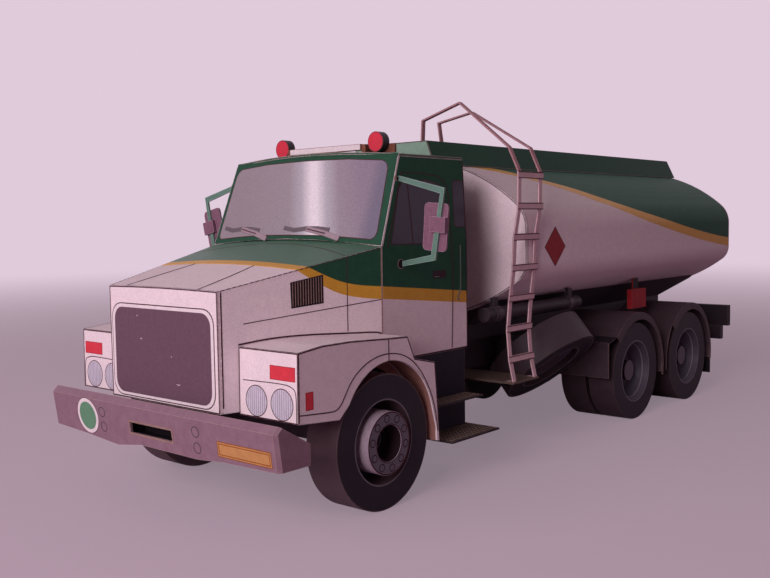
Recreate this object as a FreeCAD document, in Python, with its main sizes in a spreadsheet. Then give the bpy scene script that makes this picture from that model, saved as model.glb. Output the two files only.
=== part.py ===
import FreeCAD, Part
import math
import os
import re
import Sketcher
from FreeCAD import Placement, Rotation, Vector

# A folded card model of a bonneted tanker truck with three axles.
# +X runs forward, +Y to the left and +Z up; the origin is on the ground below the middle of the length.
os.makedirs("parts", exist_ok=True)
doc = FreeCAD.newDocument("card_tanker")

# Driving sizes in millimetres, angles in degrees
SIZES = [
    # Whole truck, with every X measured from the front axle
    ("front_overhang", 24.4, "front axle to the bumper's face"),
    ("bogie_spacing", 27.0, "first to second rear axle"),
    ("rear_overhang", 27.6, "second rear axle to the rear board's face"),
    ("card", 0.4, "doubled card of the walls"),
    ("thin_card", 0.3, "single card of the cut-outs"),
    ("seat_gap", 0.05, "glue line between fitted pieces"),
    ("overrun", 1.0, "how far a cut runs past what it cuts"),
    # Wheels and axles
    ("wheel_radius", 10.16, "tyre tread"),
    ("rim_radius", 6.26, "opening in a tyre's face"),
    ("axle_radius", 1.2, "axle shafts"),
    ("axle_clearance", 0.08, "radial play of a wheel on its shaft"),
    ("front_track_half", 24.3, "outer face of a front tyre"),
    ("front_tyre_width", 6.0, "front tyre"),
    ("drum_radius", 4.73, "front hub drum"),
    ("drum_stand", 1.0, "drum's front beyond the tyre"),
    ("drum_bore_radius", 2.75, "open bore in the drum's front"),
    ("drum_bore_depth", 3.4, "depth of that bore"),
    ("drum_web", 1.2, "disc that joins drum and tyre"),
    ("rear_track_half", 25.0, "outer face of an outer rear tyre"),
    ("rear_tyre_width", 5.6, "each rear tyre"),
    ("twin_gap", 0.8, "gap between twin tyres"),
    ("twin_core_radius", 6.8, "core between twin tyres"),
    ("dish_depth", 3.5, "dish of a rear rim"),
    ("dish_radius", 4.6, "bottom of the dish"),
    ("hub_radius", 2.17, "rear hub"),
    ("hub_height", 2.0, "rear hub above its dish"),
    ("hub_wall", 0.8, "hub left over the axle's end"),
    ("axle_beam_width", 2.6, "axle beams and spring blocks, along X"),
    ("front_beam_drop", 1.3, "underside of the front beam below the shaft's centre"),
    ("spring_length", 15.0, "card springs"),
    ("spring_inner", 5.4, "inner face of a spring"),
    ("spring_height", 1.4, "card springs"),
    ("diff_radius", 3.4, "casing in the middle of a rear axle"),
    ("diff_width", 6.4, "that casing, along the axle"),
    # Frame
    ("frame_half", 9.0, "outer faces of the rails"),
    ("rail_width", 2.2, "rails"),
    ("frame_bottom", 14.2, "underside"),
    ("frame_top", 20.0, "top"),
    ("frame_front", 20.6, "where the rails drop to the bumper's horns"),
    ("horn_front", 23.3, "front of the horns"),
    ("horn_top", 16.1, "top of the horns"),
    ("frame_bays", 6, "openings between crossmembers"),
    ("crossmember", 3.0, "crossmembers, along X"),
    # Front bumper
    ("bumper_half", 26.4, "half width"),
    ("bumper_shift", 0.9, "its middle to the left of the truck's"),
    ("bumper_face_half", 25.9, "half width of the flat face"),
    ("bumper_corner_back", 0.5, "set-back of the folded corners"),
    ("bumper_return", 6.2, "depth over the side returns"),
    ("bumper_bottom", 9.6, "lowest point of the hand-cut lower edge"),
    ("bumper_fold", 16.1, "upper fold"),
    ("bumper_top", 17.0, "top of the bevel"),
    ("bumper_bevel", 0.9, "set-back of the bevel"),
    ("bumper_lean", 0.9, "set-back of the lower edge"),
    ("bumper_slot_half", 5.0, "half width of the slot"),
    ("bumper_slot_bottom", 12.1, "slot"),
    ("bumper_slot_top", 13.7, "slot"),
    # Bonnet and grille
    ("grille_front", 21.2, "grille's face"),
    ("grille_half", 12.85, "half width of the bonnet's front"),
    ("bonnet_bottom", 16.4, "lower edges"),
    ("bonnet_front_top", 33.45, "top at the grille"),
    ("bonnet_front_crown", 0.15, "crown at the grille"),
    ("scuttle", 5.2, "windscreen foot behind the front axle"),
    ("scuttle_top", 38.75, "windscreen foot at the cab's corners"),
    ("scuttle_crown", 1.1, "crown of the bonnet at the windscreen"),
    ("wheel_room", 1.05, "cut of the bonnet's sides round a tyre"),
    # Front wings
    ("wing_front", 18.4, "front face"),
    ("wing_rear", 12.1, "rear face behind the axle"),
    ("wing_bottom", 8.4, "lowest corner at the rear"),
    ("wing_top", 26.1, "top fold"),
    ("wing_half", 25.4, "outer face"),
    ("arch_radius", 12.0, "wheel arch in the outer side"),
    ("arch_lip", 0.55, "outer side hangs this far below the liner"),
    # Cab
    ("cab_half", 19.85, "half width below the windows"),
    ("cab_bottom", 20.9, "lower edges"),
    ("cab_rear", 27.4, "rear face behind the front axle"),
    ("roof_edge", 53.2, "roof's edge"),
    ("roof_half", 19.07, "half width at the roof"),
    ("roof_crown", 0.85, "crown of the roof"),
    ("roof_front", 10.6, "windscreen's top corners behind the front axle"),
    ("screen_bulge", 1.5, "bulge of the windscreen"),
    # Roof fittings
    ("sign_front", 13.5, "sign's face behind the front axle"),
    ("sign_half", 8.4, "half width of the sign"),
    ("sign_rise", 1.25, "underside above the edge of the roof"),
    ("sign_height", 1.0, "height"),
    ("sign_depth", 1.4, "depth"),
    ("sign_foot", 0.8, "ends of the sign, which reach back to the beacon strips"),
    ("sign_foot_set", 0.3, "those ends behind the sign's face"),
    ("beacon_strip_half", 13.8, "outer end of the strips behind the beacons"),
    ("beacon_strip_rise", 2.2, "their top above the edge of the roof"),
    ("beacon_strip_card", 0.5, "their thickness"),
    ("beacon_set_back", 0.7, "beacons behind the sign's face"),
    ("beacon_radius", 1.67, "beacons"),
    ("beacon_length", 1.6, "beacons"),
    ("beacon_place", 11.1, "centre from the middle of the roof"),
    ("beacon_rise", 0.3, "centre above the top of their strips"),
    # Mirrors and wipers
    ("mirror_back", 10.1, "front face of the brackets behind the front axle"),
    ("bracket_card", 0.35, "doubled card of the brackets"),
    ("bracket_width", 0.8, "strip of the brackets"),
    ("bracket_upper_reach", 7.95, "upper elbow beside the cab"),
    ("bracket_lower_reach", 6.1, "lower elbow beside the cab"),
    ("bracket_upper_drop", 3.9, "upper end on the cab, below the edge of the roof"),
    ("bracket_lower_drop", 2.8, "lower end on the cab, below the windscreen"),
    ("bracket_upper_fall", 2.2, "upper elbow below the upper end"),
    ("bracket_lower_rise", 1.05, "lower elbow above the lower end"),
    ("mirror_half_width", 2.25, "mirror heads"),
    ("mirror_half_height", 3.65, "mirror heads"),
    ("mirror_round", 0.7, "corners of the heads"),
    ("mirror_card", 0.35, "thickness of the heads"),
    ("mirror_aside", 0.65, "centre of the heads inside the bracket's strip"),
    ("mirror_share", 0.46, "centre of the heads between the elbows, as a share from the lower one"),
    ("mirror_lean_left", 4.5, "lean of the left head"),
    ("mirror_lean_right", 13.0, "lean of the right head"),
    ("clip_card", 0.25, "clip over the bracket"),
    ("clip_low", -0.75, "clip's lower edge from the head's centre"),
    ("clip_high", 1.6, "clip's upper edge from the head's centre"),
    ("clip_inner", -0.6, "clip's inner edge from the head's centre"),
    ("clip_play", 0.35, "room for the bracket in the clip, on each side"),
    ("wiper_card", 0.2, "wipers"),
    ("wiper_width", 0.6, "strips of the wipers"),
    ("wiper_blade", 10.6, "blade"),
    ("wiper_rise", 2.1, "middle of the blade above the arm's foot"),
    ("wiper_reach", 7.6, "arm's foot to the left of the blade's middle"),
    ("wiper_pitch", 16.6, "blade to blade"),
    ("wiper_shift", -4.0, "middle between the blades, to the left of the truck's middle"),
    # Steps
    ("step_front", 12.6, "box behind the front axle"),
    ("step_rear", 26.3, "box behind the front axle"),
    ("step_half", 20.0, "outer face of the box"),
    ("step_inner", 13.0, "inner face of the box"),
    ("step_bottom", 7.8, "underside of the box"),
    ("upper_tread_half", 23.7, "outer edge of the upper tread"),
    ("upper_tread_top", 13.3, "its top"),
    ("lower_tread_half", 26.4, "outer edge of the lower tread"),
    ("lower_tread_top", 7.8, "its top"),
    ("lower_tread_rear", 27.2, "its rear edge behind the front axle"),
    ("tread_front", 14.0, "front edges behind the front axle"),
    # Tank
    ("tank_front", 38.3, "front face behind the front axle"),
    ("tank_overhang", 25.0, "rear face behind the last axle"),
    ("tank_half", 25.0, "half width"),
    ("tank_top", 54.0, "crown"),
    ("tank_bottom", 24.1, "lowest line"),
    ("tank_top_arc", 1.4, "radius of the upper side, as a share of the half width"),
    ("tank_top_corner", 6.0, "upper corners"),
    ("tank_bottom_arc", 1.58, "radius of the lower side, as a share of the half width"),
    ("tank_bottom_corner", 4.0, "lower corners"),
    ("bearer_inset", 1.8, "bearer's ends from the tank's ends"),
    ("bearer_slope", 8.5, "how far its rear end slopes forward below the tank"),
    ("bearer_foot_half", 11.0, "half width on the frame"),
    ("bearer_knee", 22.8, "where its sides flare"),
    ("bearer_top_half", 16.6, "half width under the tank"),
    # Walkway on the tank
    ("tray_lead", 7.3, "front face ahead of the tank"),
    ("tray_trail", 0.5, "rear face behind the tank"),
    ("tray_top", 57.0, "upper edge"),
    ("tray_bottom", 52.6, "lower edge"),
    ("tray_top_half", 8.4, "half width of the upper edge"),
    ("tray_bottom_half", 10.4, "half width of the lower edge"),
    ("tray_lean", 0.35, "set-back of the upper edge at the ends"),
    ("lid_strip_half", 3.4, "card strip under the lids"),
    ("lid_strip_height", 0.3, "that strip"),
    ("lid_radius", 2.7, "lids"),
    ("lid_height", 0.5, "lids above their strip"),
    ("lid_count", 3, "lids"),
    ("lid_margin", 14.0, "strip's ends from the tank's ends"),
    # Ladder, platform and hoops
    ("ladder_front", 33.05, "front edge behind the front axle"),
    ("ladder_width", 7.6, "over the rails"),
    ("ladder_rail", 0.9, "rails"),
    ("ladder_top", 50.75, "top of the upper rung"),
    ("ladder_rung", 1.15, "rungs"),
    ("ladder_pitch", 5.3, "rung to rung"),
    ("ladder_bays", 6, "openings between rungs"),
    ("ladder_foot_share", 1.008, "inner face at the platform, as a share of the tank's half width"),
    ("platform_margin", 0.4, "platform's ends beyond the ladder"),
    ("platform_lip", 0.2, "platform's outer edge beyond the ladder"),
    ("hoop_foot", 5.6, "inner foot from the middle"),
    ("front_hoop_peak", 63.3, "highest elbow of the front hoop"),
    ("rear_hoop_peak", 62.3, "highest elbow of the rear hoop"),
    # Left side below the tank
    ("spare_gap", 5.59, "spare wheel behind the platform"),
    ("spare_clearance", 1.14, "spare wheel ahead of the first mudguard"),
    ("spare_face_half", 18.8, "centre of its face from the middle"),
    ("spare_face_height", 13.5, "centre of its face"),
    ("spare_tilt", 49.5, "its axis below the level"),
    ("spare_width", 6.0, "its width"),
    ("spare_recess", 1.2, "depth of its rim"),
    ("spare_hub_radius", 2.6, "disc in its rim"),
    ("spare_hub_height", 0.5, "that disc"),
    ("carrier_length", 9.0, "spare wheel's carrier, along X"),
    ("carrier_up", 1.2, "carrier above the wheel's centre, along its back"),
    ("carrier_down", 5.2, "carrier below the wheel's centre, along its back"),
    ("hose_lead", 4.8, "hose tube's front end ahead of the tank"),
    ("hose_length", 33.0, "hose tube"),
    ("hose_radius", 1.25, "hose tube"),
    ("hose_share", 0.76, "its centre from the middle, as a share of the tank's half width"),
    ("hose_drop", 3.2, "its centre below the tank"),
    ("strap_set", 2.6, "straps from the tube's ends"),
    ("strap_length", 1.3, "straps along the tube"),
    ("strap_card", 0.15, "straps"),
    ("red_box_lag", 7.5, "red box behind the first rear axle"),
    ("red_box_length", 6.9, "red box"),
    ("red_box_share", 0.772, "its inner face, as a share of the tank's half width"),
    ("red_box_depth", 1.2, "red box, across"),
    ("red_box_bottom", 22.5, "red box"),
    ("red_box_top", 26.7, "red box"),
    ("red_hanger_length", 2.4, "its hanger"),
    # Right side below the tank
    ("fuel_lag", 8.6, "fuel tank behind the cab"),
    ("fuel_clearance", 8.1, "fuel tank ahead of the first mudguard"),
    ("fuel_half", 22.4, "outer face"),
    ("fuel_bottom", 10.6, "underside"),
    ("fuel_top", 19.6, "top"),
    ("fuel_round", 2.2, "long corners"),
    # Rear end
    ("guard_radius", 12.5, "rear mudguards"),
    ("guard_half", 25.35, "their outer edge"),
    ("guard_lip_shift", 0.7, "inner edge of the side lip, forward and down"),
    ("guard_lip_radius", 11.6, "inner edge of the side lip"),
    ("guard_drop", 8.0, "angle of the arcs' lower ends below the level"),
    ("guard_front_angle", 41.0, "angle where the front flap begins"),
    ("guard_flap_reach", 12.9, "front flap ahead of its axle"),
    ("guard_flap_top", 17.2, "front flap"),
    ("guard_flap_bottom", 10.3, "front flap"),
    ("flap_bottom", 4.6, "black flaps"),
    ("flap_top", 12.4, "black flaps"),
    ("flap_inner", 14.0, "black flaps, from the middle"),
    ("board_card", 1.6, "rear board"),
    ("board_half", 24.6, "rear board"),
    ("board_bottom", 14.7, "rear board"),
    ("board_top", 19.9, "rear board"),
    ("lamp_inner", 15.0, "rear lamps, from the middle"),
    ("lamp_outer", 22.8, "rear lamps, from the middle"),
    ("lamp_bottom", 11.2, "rear lamps"),
]
sizes = doc.addObject("Spreadsheet::Sheet", "sizes")
for row, (alias, number, meaning) in enumerate(SIZES, start=1):
    sizes.set(f"A{row}", meaning)
    sizes.set(f"B{row}", str(number))
    sizes.setAlias(f"B{row}", alias)
doc.recompute()

# Outlines as shares, chosen by hand
# The wing's side: shares of its length from the front and of its height from the bottom
WING_SHARES = [(0.0, 0.435), (0.004, 0.972), (0.157, 1.0), (0.338, 1.0), (0.597, 0.977), (0.748, 0.966),
               (0.803, 0.768), (0.964, 0.706), (1.0, 0.0)]
# The wheel arch: shares of the arch's radius ahead of and above the axle, from the rear to the front; a third
# entry is the radius of the arc that follows
ARCH_SHARES = [(-0.957, 0.005), (-0.869, 0.308, 0.92), (-0.028, 1.018, 0.856), (0.711, 0.59)]
# The bumper's lower edge: shares of its half width, and of the height up to its fold
BUMPER_EDGE_SHARES = [(-1.0, 0.19), (-0.62, 0.1), (-0.34, 0.0), (-0.12, 0.13), (0.36, 0.11), (0.55, 0.18),
                      (1.0, 0.22)]
# The ladder's bend: shares of the tank's half width and of the ladder's top height
LADDER_SHARES = [(0.975, 0.36), (0.958, 0.463), (0.977, 0.565), (1.006, 0.672), (1.016, 0.776), (1.052, 0.876),
                 (1.056, 1.0)]
# The hoops' elbows: shares of the tank's half width, and of the rise from the ladder to the highest elbow
FRONT_HOOP_SHARES = [(0.24, 0.8), (0.572, 1.0), (0.985, 0.33)]
REAR_HOOP_SHARES = [(0.18, 0.88), (0.488, 1.0), (0.985, 0.37)]

# Places worked out from the driving sizes
NAMES = {alias: "sizes" for alias, number, meaning in SIZES}


def formula(text):
    """Point each size's name at its cell."""
    return re.sub(r"[a-z][a-z0-9_]*", lambda word: f"{NAMES[word[0]]}.{word[0]}" if word[0] in NAMES else word[0],
                  text)


PLACES = [
    ("ladder_rear", "ladder_front + ladder_width"),
    ("platform_front", "ladder_front - platform_margin"),
    ("platform_rear", "ladder_rear + platform_margin"),
    ("spare_back", "platform_rear + spare_gap + wheel_radius"),
    ("wheelbase", "spare_back + wheel_radius + spare_clearance + guard_flap_reach"),
    ("front_axle_x", "(front_overhang + wheelbase + bogie_spacing + rear_overhang) / 2 - front_overhang"),
    ("rear_axle_x", "front_axle_x - wheelbase"),
    ("last_axle_x", "rear_axle_x - bogie_spacing"),
    ("rear_face_x", "last_axle_x - rear_overhang"),
    ("board_x", "rear_face_x + board_card"),
    ("bore_radius", "axle_radius + axle_clearance"),
    ("scuttle_x", "front_axle_x - scuttle"),
    ("cab_rear_x", "front_axle_x - cab_rear"),
    ("grille_x", "front_axle_x + grille_front"),
    ("flare", "(cab_half - grille_half) / (grille_front + scuttle)"),
    ("screen_rise", "(roof_edge + roof_crown - scuttle_top) / (roof_edge - scuttle_top)"),
    ("screen_top", "roof_edge + roof_crown"),
    ("screen_top_x", "scuttle_x - (roof_front - scuttle) * screen_rise"),
    ("screen_top_half", "cab_half - (cab_half - roof_half) * screen_rise"),
    ("screen_foot_radius", "(cab_half^2 + screen_bulge^2) / (2 * screen_bulge)"),
    ("screen_top_radius", "(screen_top_half^2 + screen_bulge^2) / (2 * screen_bulge)"),
    ("scuttle_radius", "(cab_half^2 + scuttle_crown^2) / (2 * scuttle_crown)"),
    ("grille_top_radius", "(grille_half^2 + bonnet_front_crown^2) / (2 * bonnet_front_crown)"),
    ("roof_radius", "(roof_half^2 + roof_crown^2) / (2 * roof_crown)"),
    ("roof_front_radius", "(roof_half^2 + screen_bulge^2) / (2 * screen_bulge)"),
    ("sign_bottom", "roof_edge + sign_rise"),
    ("beacon_strip_top", "roof_edge + beacon_strip_rise"),
    ("beacon_height", "beacon_strip_top + beacon_rise"),
    ("bracket_top_half", "cab_half + bracket_upper_reach"),
    ("bracket_low_half", "cab_half + bracket_lower_reach"),
    ("bracket_upper_hole", "roof_edge - bracket_upper_drop"),
    ("bracket_lower_hole", "scuttle_top - bracket_lower_drop"),
    ("bracket_top", "bracket_upper_hole - bracket_upper_fall"),
    ("bracket_low", "bracket_lower_hole + bracket_lower_rise"),
    ("mirror_middle", "bracket_low + mirror_share * (bracket_top - bracket_low)"),
    ("mirror_middle_half",
     "bracket_low_half + mirror_share * (bracket_top_half - bracket_low_half) - mirror_aside"),
    ("tank_rear", "wheelbase + bogie_spacing + tank_overhang"),
    ("tank_front_x", "front_axle_x - tank_front"),
    ("tank_rear_x", "front_axle_x - tank_rear"),
    ("tank_top_radius", "tank_top_arc * tank_half"),
    ("tank_bottom_radius", "tank_bottom_arc * tank_half"),
    ("upper_centre", "tank_top - tank_top_radius"),
    ("upper_reach", "sqrt((tank_top_radius - tank_top_corner)^2 - (tank_half - tank_top_corner)^2)"),
    ("upper_side", "upper_centre + upper_reach"),
    ("upper_join_y", "(tank_half - tank_top_corner) * tank_top_radius / (tank_top_radius - tank_top_corner)"),
    ("upper_join_z", "upper_centre + upper_reach * tank_top_radius / (tank_top_radius - tank_top_corner)"),
    ("lower_centre", "tank_bottom + tank_bottom_radius"),
    ("lower_reach", "sqrt((tank_bottom_radius - tank_bottom_corner)^2 - (tank_half - tank_bottom_corner)^2)"),
    ("lower_side", "lower_centre - lower_reach"),
    ("lower_share", "tank_bottom_radius / (tank_bottom_radius - tank_bottom_corner)"),
    ("lower_join_y", "(tank_half - tank_bottom_corner) * lower_share"),
    ("lower_join_z", "lower_centre - lower_reach * lower_share"),
    ("bearer_radius", "tank_bottom_radius + seat_gap"),
    ("bearer_top", "lower_centre - sqrt(bearer_radius^2 - bearer_top_half^2)"),
    ("platform_top", "frame_bottom + thin_card"),
    ("ladder_foot_half", "ladder_foot_share * tank_half"),
    ("platform_half", "ladder_foot_half + thin_card + platform_lip"),
    ("hoop_seat", "upper_centre + sqrt(tank_top_radius^2 - hoop_foot^2) + seat_gap"),
    ("hose_half", "hose_share * tank_half"),
    ("hose_height", "lower_centre - sqrt(tank_bottom_radius^2 - hose_half^2) - hose_drop"),
    ("red_box_inner", "red_box_share * tank_half"),
    ("fuel_front", "cab_rear + fuel_lag"),
    ("fuel_rear", "wheelbase - guard_flap_reach - fuel_clearance"),
    ("spare_centre_y", "spare_face_half - spare_width * cos(spare_tilt * 1 deg)"),
    ("spare_centre_z", "spare_face_height + spare_width * sin(spare_tilt * 1 deg)"),
]
places = doc.addObject("Spreadsheet::Sheet", "places")
for row, (alias, rule) in enumerate(PLACES, start=1):
    places.set(f"B{row}", "=" + formula(rule))
    places.setAlias(f"B{row}", alias)
    NAMES[alias] = "places"
doc.recompute()
reckoner = doc.addObject("Spreadsheet::Sheet", "reckoner")


def value(text):
    """The number that a formula gives."""
    reckoner.set("A1", "=" + formula(text))
    reckoner.recompute()
    return float(reckoner.get("A1"))


def new_body(label):
    """A body of its own for one piece."""
    body = doc.addObject("PartDesign::Body", label)
    body.Label = label
    return body


def new_sketch(body, role, level, across="0", up="0"):
    """A sketch on one of the body's origin planes, moved out to a level."""
    plane = next(feature for feature in body.Origin.OriginFeatures if feature.Role == role)
    sketch = body.newObject("Sketcher::SketchObject", body.Label + "_sketch")
    sketch.AttachmentSupport = (plane, [""])
    sketch.MapMode = "FlatFace"
    for axis, rule in (("x", across), ("y", up), ("z", level)):
        sketch.setExpression("AttachmentOffset.Base." + axis, formula(rule))
    return sketch


def fix(sketch, kind, rule, *place):
    """Bind one constraint of a sketch to a formula."""
    index = sketch.addConstraint(Sketcher.Constraint(kind, *place, value(rule)))
    sketch.setExpression(f"Constraints[{index}]", formula(rule))


def outline(sketch, corners):
    """Close one outline. A corner with a radius starts an arc whose centre is to the left, or the right if -."""
    points = [Vector(value(corner[0]), value(corner[1]), 0) for corner in corners]
    starts = []
    ends = []
    for number, corner in enumerate(corners):
        here = points[number]
        there = points[(number + 1) % len(points)]
        if len(corner) == 2:
            edge = sketch.addGeometry(Part.LineSegment(here, there), False)
            starts.append((edge, 1))
            ends.append((edge, 2))
            continue
        to_right = corner[2].startswith("-")
        radius = value(corner[2].lstrip("-"))
        half = (there - here) * 0.5
        aside = Vector(-half.y, half.x, 0).normalize() * math.sqrt(max(radius**2 - half.Length**2, 0))
        middle = here + half - aside if to_right else here + half + aside
        first, last = (there, here) if to_right else (here, there)
        turn = [math.atan2(point.y - middle.y, point.x - middle.x) for point in (first, last)]
        circle = Part.Circle(middle, Vector(0, 0, 1), radius)
        edge = sketch.addGeometry(Part.ArcOfCircle(circle, turn[0], turn[1]), False)
        starts.append((edge, 2 if to_right else 1))
        ends.append((edge, 1 if to_right else 2))
        fix(sketch, "Radius", corner[2].lstrip("-"), edge)
    for number, corner in enumerate(corners):
        sketch.addConstraint(Sketcher.Constraint("Coincident", *ends[number - 1], *starts[number]))
        fix(sketch, "DistanceX", corner[0], -1, 1, *starts[number])
        fix(sketch, "DistanceY", corner[1], -1, 1, *starts[number])


def ring(sketch, across, up, radius):
    """A full circle in a sketch."""
    middle = Vector(value(across), value(up), 0)
    edge = sketch.addGeometry(Part.Circle(middle, Vector(0, 0, 1), value(radius)), False)
    fix(sketch, "Radius", radius, edge)
    fix(sketch, "DistanceX", across, -1, 1, edge, 3)
    fix(sketch, "DistanceY", up, -1, 1, edge, 3)


def pad(body, role, level, length, corners):
    """Raise an outline from its level along its plane's normal."""
    sketch = new_sketch(body, role, level)
    outline(sketch, corners)
    feature = body.newObject("PartDesign::Pad", body.Label + "_pad")
    feature.Profile = sketch
    feature.setExpression("Length", formula(length))
    return feature


def side_pad(body, inner, outer, corners):
    """Raise an outline in X and Z between two distances to the left of the middle."""
    return pad(body, "XZ_Plane", f"-({outer})", f"{outer} - ({inner})", corners)


def cut_through(body, role, draw, level="0"):
    """Cut what draw puts in a sketch through the whole body, both ways."""
    sketch = new_sketch(body, role, level)
    draw(sketch)
    feature = body.newObject("PartDesign::Pocket", body.Label + "_cut")
    feature.Profile = sketch
    feature.Type = "ThroughAll"
    feature.SideType = "Symmetric"
    return feature


def loft(body, kind, role, levels, outlines):
    """Run a straight-sided loft through outlines at their levels."""
    sketches = []
    for level, corners in zip(levels, outlines):
        sketch = new_sketch(body, role, level)
        outline(sketch, corners)
        sketches.append(sketch)
    feature = body.newObject("PartDesign::" + kind, body.Label + "_loft")
    feature.Profile = sketches[0]
    feature.Sections = sketches[1:]
    feature.Ruled = True
    return feature


def turned(body, axle, height, corners):
    """Turn a profile of (distance from the middle, radius) about an axle that lies along Y."""
    sketch = new_sketch(body, "YZ_Plane", axle, up=height)
    outline(sketch, corners)
    feature = body.newObject("PartDesign::Revolution", body.Label + "_turn")
    feature.Profile = sketch
    feature.ReferenceAxis = (sketch, ["H_Axis"])
    return feature


def box(label, x, y, z):
    """A box between two formulas along each axis."""
    block = doc.addObject("Part::Box", label)
    for size, axis, (low, high) in zip(("Length", "Width", "Height"), "xyz", (x, y, z)):
        block.setExpression(size, formula(f"({high}) - ({low})"))
        block.setExpression("Placement.Base." + axis, formula(low))
    return block


def rod(label, radius, length, start, axis):
    """A cylinder from its start along X or Y."""
    cylinder = doc.addObject("Part::Cylinder", label)
    turns = {"X": Rotation(Vector(0, 1, 0), 90), "Y": Rotation(Vector(1, 0, 0), -90), "Z": Rotation()}
    cylinder.Placement = Placement(Vector(0, 0, 0), turns[axis])
    cylinder.setExpression("Radius", formula(radius))
    cylinder.setExpression("Height", formula(length))
    for name, rule in zip("xyz", start):
        cylinder.setExpression("Placement.Base." + name, formula(rule))
    return cylinder


def joined(label, pieces):
    """One piece of card glued up from several shapes."""
    union = doc.addObject("Part::MultiFuse", label)
    union.Label = label
    union.Shapes = pieces
    union.Refine = True
    return union


def mirrored(label, source):
    """The right-hand copy of a left-hand piece."""
    copy = doc.addObject("Part::Mirroring", label)
    copy.Label = label
    copy.Source = source
    copy.Normal = Vector(0, 1, 0)
    return copy


nodes = []


def pair(source):
    """Keep a left-hand piece and its right-hand copy."""
    nodes.append(source)
    nodes.append(mirrored(source.Label.replace("left", "right"), source))


# Frame
# Two rails with crossmembers; their front ends drop to short horns behind the bumper.
frame = new_body("frame")
pad(frame, "XY_Plane", "frame_bottom", "frame_top - frame_bottom",
    [("board_x", "-frame_half"), ("front_axle_x + horn_front", "-frame_half"),
     ("front_axle_x + horn_front", "frame_half"), ("board_x", "frame_half")])
cut_through(frame, "XZ_Plane", lambda sketch: outline(sketch, [
    ("front_axle_x + frame_front", "horn_top"), ("front_axle_x + horn_front + overrun", "horn_top"),
    ("front_axle_x + horn_front + overrun", "frame_top + overrun"),
    ("front_axle_x + frame_front", "frame_top + overrun")]))
bay = "((front_axle_x + horn_front - board_x - crossmember) / frame_bays)"
bay_cut = cut_through(frame, "XY_Plane", lambda sketch: outline(sketch, [
    ("board_x + crossmember", "-frame_half + rail_width"), (f"board_x + {bay}", "-frame_half + rail_width"),
    (f"board_x + {bay}", "frame_half - rail_width"), ("board_x + crossmember", "frame_half - rail_width")]))
bays = frame.newObject("PartDesign::LinearPattern", "frame_bays")
bays.Originals = [bay_cut]
bays.Direction = (next(item for item in frame.Origin.OriginFeatures if item.Role == "X_Axis"), [""])
bays.setExpression("Length", formula(f"{bay} * (frame_bays - 1)"))
bays.setExpression("Occurrences", formula("frame_bays"))
frame.Tip = bays
nodes.append(frame)

# Axles
# A shaft for each pair of wheels, carried by card springs under the rails.
front_beam = "front_axle_x - axle_beam_width / 2"
front_shaft_half = "front_track_half + drum_stand - drum_bore_depth"
front_inner = "front_track_half - front_tyre_width"
front_shaft = rod("front_shaft", "axle_radius", f"2 * ({front_shaft_half})",
                  ("front_axle_x", f"-({front_shaft_half})", "wheel_radius"), "Y")
front_block = box("front_beam", (front_beam, "front_axle_x + axle_beam_width / 2"),
                  (f"-({front_inner} - 2 * card)", f"{front_inner} - 2 * card"),
                  ("wheel_radius - front_beam_drop", "wheel_radius + front_beam_drop"))
front_springs = []
for side, (low, high) in (("left", ("spring_inner", "frame_half")), ("right", ("-frame_half", "-spring_inner"))):
    front_springs.append(box(f"front_spring_{side}", ("front_axle_x - spring_length / 2",
                                                      "front_axle_x + spring_length / 2"),
                             (low, high), ("frame_bottom - spring_height", "frame_bottom")))
    front_springs.append(box(f"front_spring_pad_{side}", (front_beam, "front_axle_x + axle_beam_width / 2"),
                             (low, high), ("wheel_radius", "frame_bottom - spring_height")))
nodes.append(joined("front_axle", [front_shaft, front_block] + front_springs))
rear_inner = "rear_track_half - 2 * rear_tyre_width - twin_gap"
rear_shaft_half = "rear_track_half - dish_depth + hub_height - hub_wall"
for number, axle in ((1, "rear_axle_x"), (2, "last_axle_x")):
    shaft = rod(f"rear_shaft_{number}", "axle_radius", f"2 * ({rear_shaft_half})",
                (axle, f"-({rear_shaft_half})", "wheel_radius"), "Y")
    casing = rod(f"rear_casing_{number}", "diff_radius", "diff_width", (axle, "-diff_width / 2", "wheel_radius"),
                 "Y")
    sleeve = rod(f"rear_sleeve_{number}", "2 * axle_radius", f"2 * ({rear_inner} - 2 * card)",
                 (axle, f"-({rear_inner} - 2 * card)", "wheel_radius"), "Y")
    springs = []
    for side, (low, high) in (("left", ("spring_inner", "frame_half")),
                              ("right", ("-frame_half", "-spring_inner"))):
        springs.append(box(f"rear_spring_{number}_{side}", (f"{axle} - spring_length / 2",
                                                            f"{axle} + spring_length / 2"),
                           (low, high), ("frame_bottom - spring_height", "frame_bottom")))
        springs.append(box(f"rear_spring_pad_{number}_{side}",
                           (f"{axle} - axle_beam_width / 2", f"{axle} + axle_beam_width / 2"),
                           (low, high), ("wheel_radius", "frame_bottom - spring_height")))
    nodes.append(joined(f"rear_axle_{number}", [shaft, casing, sleeve] + springs))

# Front bumper
# One folded strip: a leaning face with a slot, folded corners with short side returns, and a bevelled top.
bumper_x = "front_axle_x + front_overhang"


def bumper_plan(back):
    """The strip seen from above, set back from the face."""
    face = f"{bumper_x} - {back}"
    corner = f"{bumper_x} - bumper_corner_back - {back}"
    end = f"{bumper_x} - bumper_return"
    plan = [(end, "bumper_half"), (corner, "bumper_half"), (face, "bumper_face_half"), (face, "-bumper_face_half"),
            (corner, "-bumper_half"), (end, "-bumper_half"), (end, "-bumper_half + card"),
            (f"{corner} - card", "-bumper_half + card"), (f"{face} - card", "-bumper_face_half + card"),
            (f"{face} - card", "bumper_face_half - card"), (f"{corner} - card", "bumper_half - card"),
            (end, "bumper_half - card")]
    return [(along, f"bumper_shift + {out}") for along, out in plan]


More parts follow.
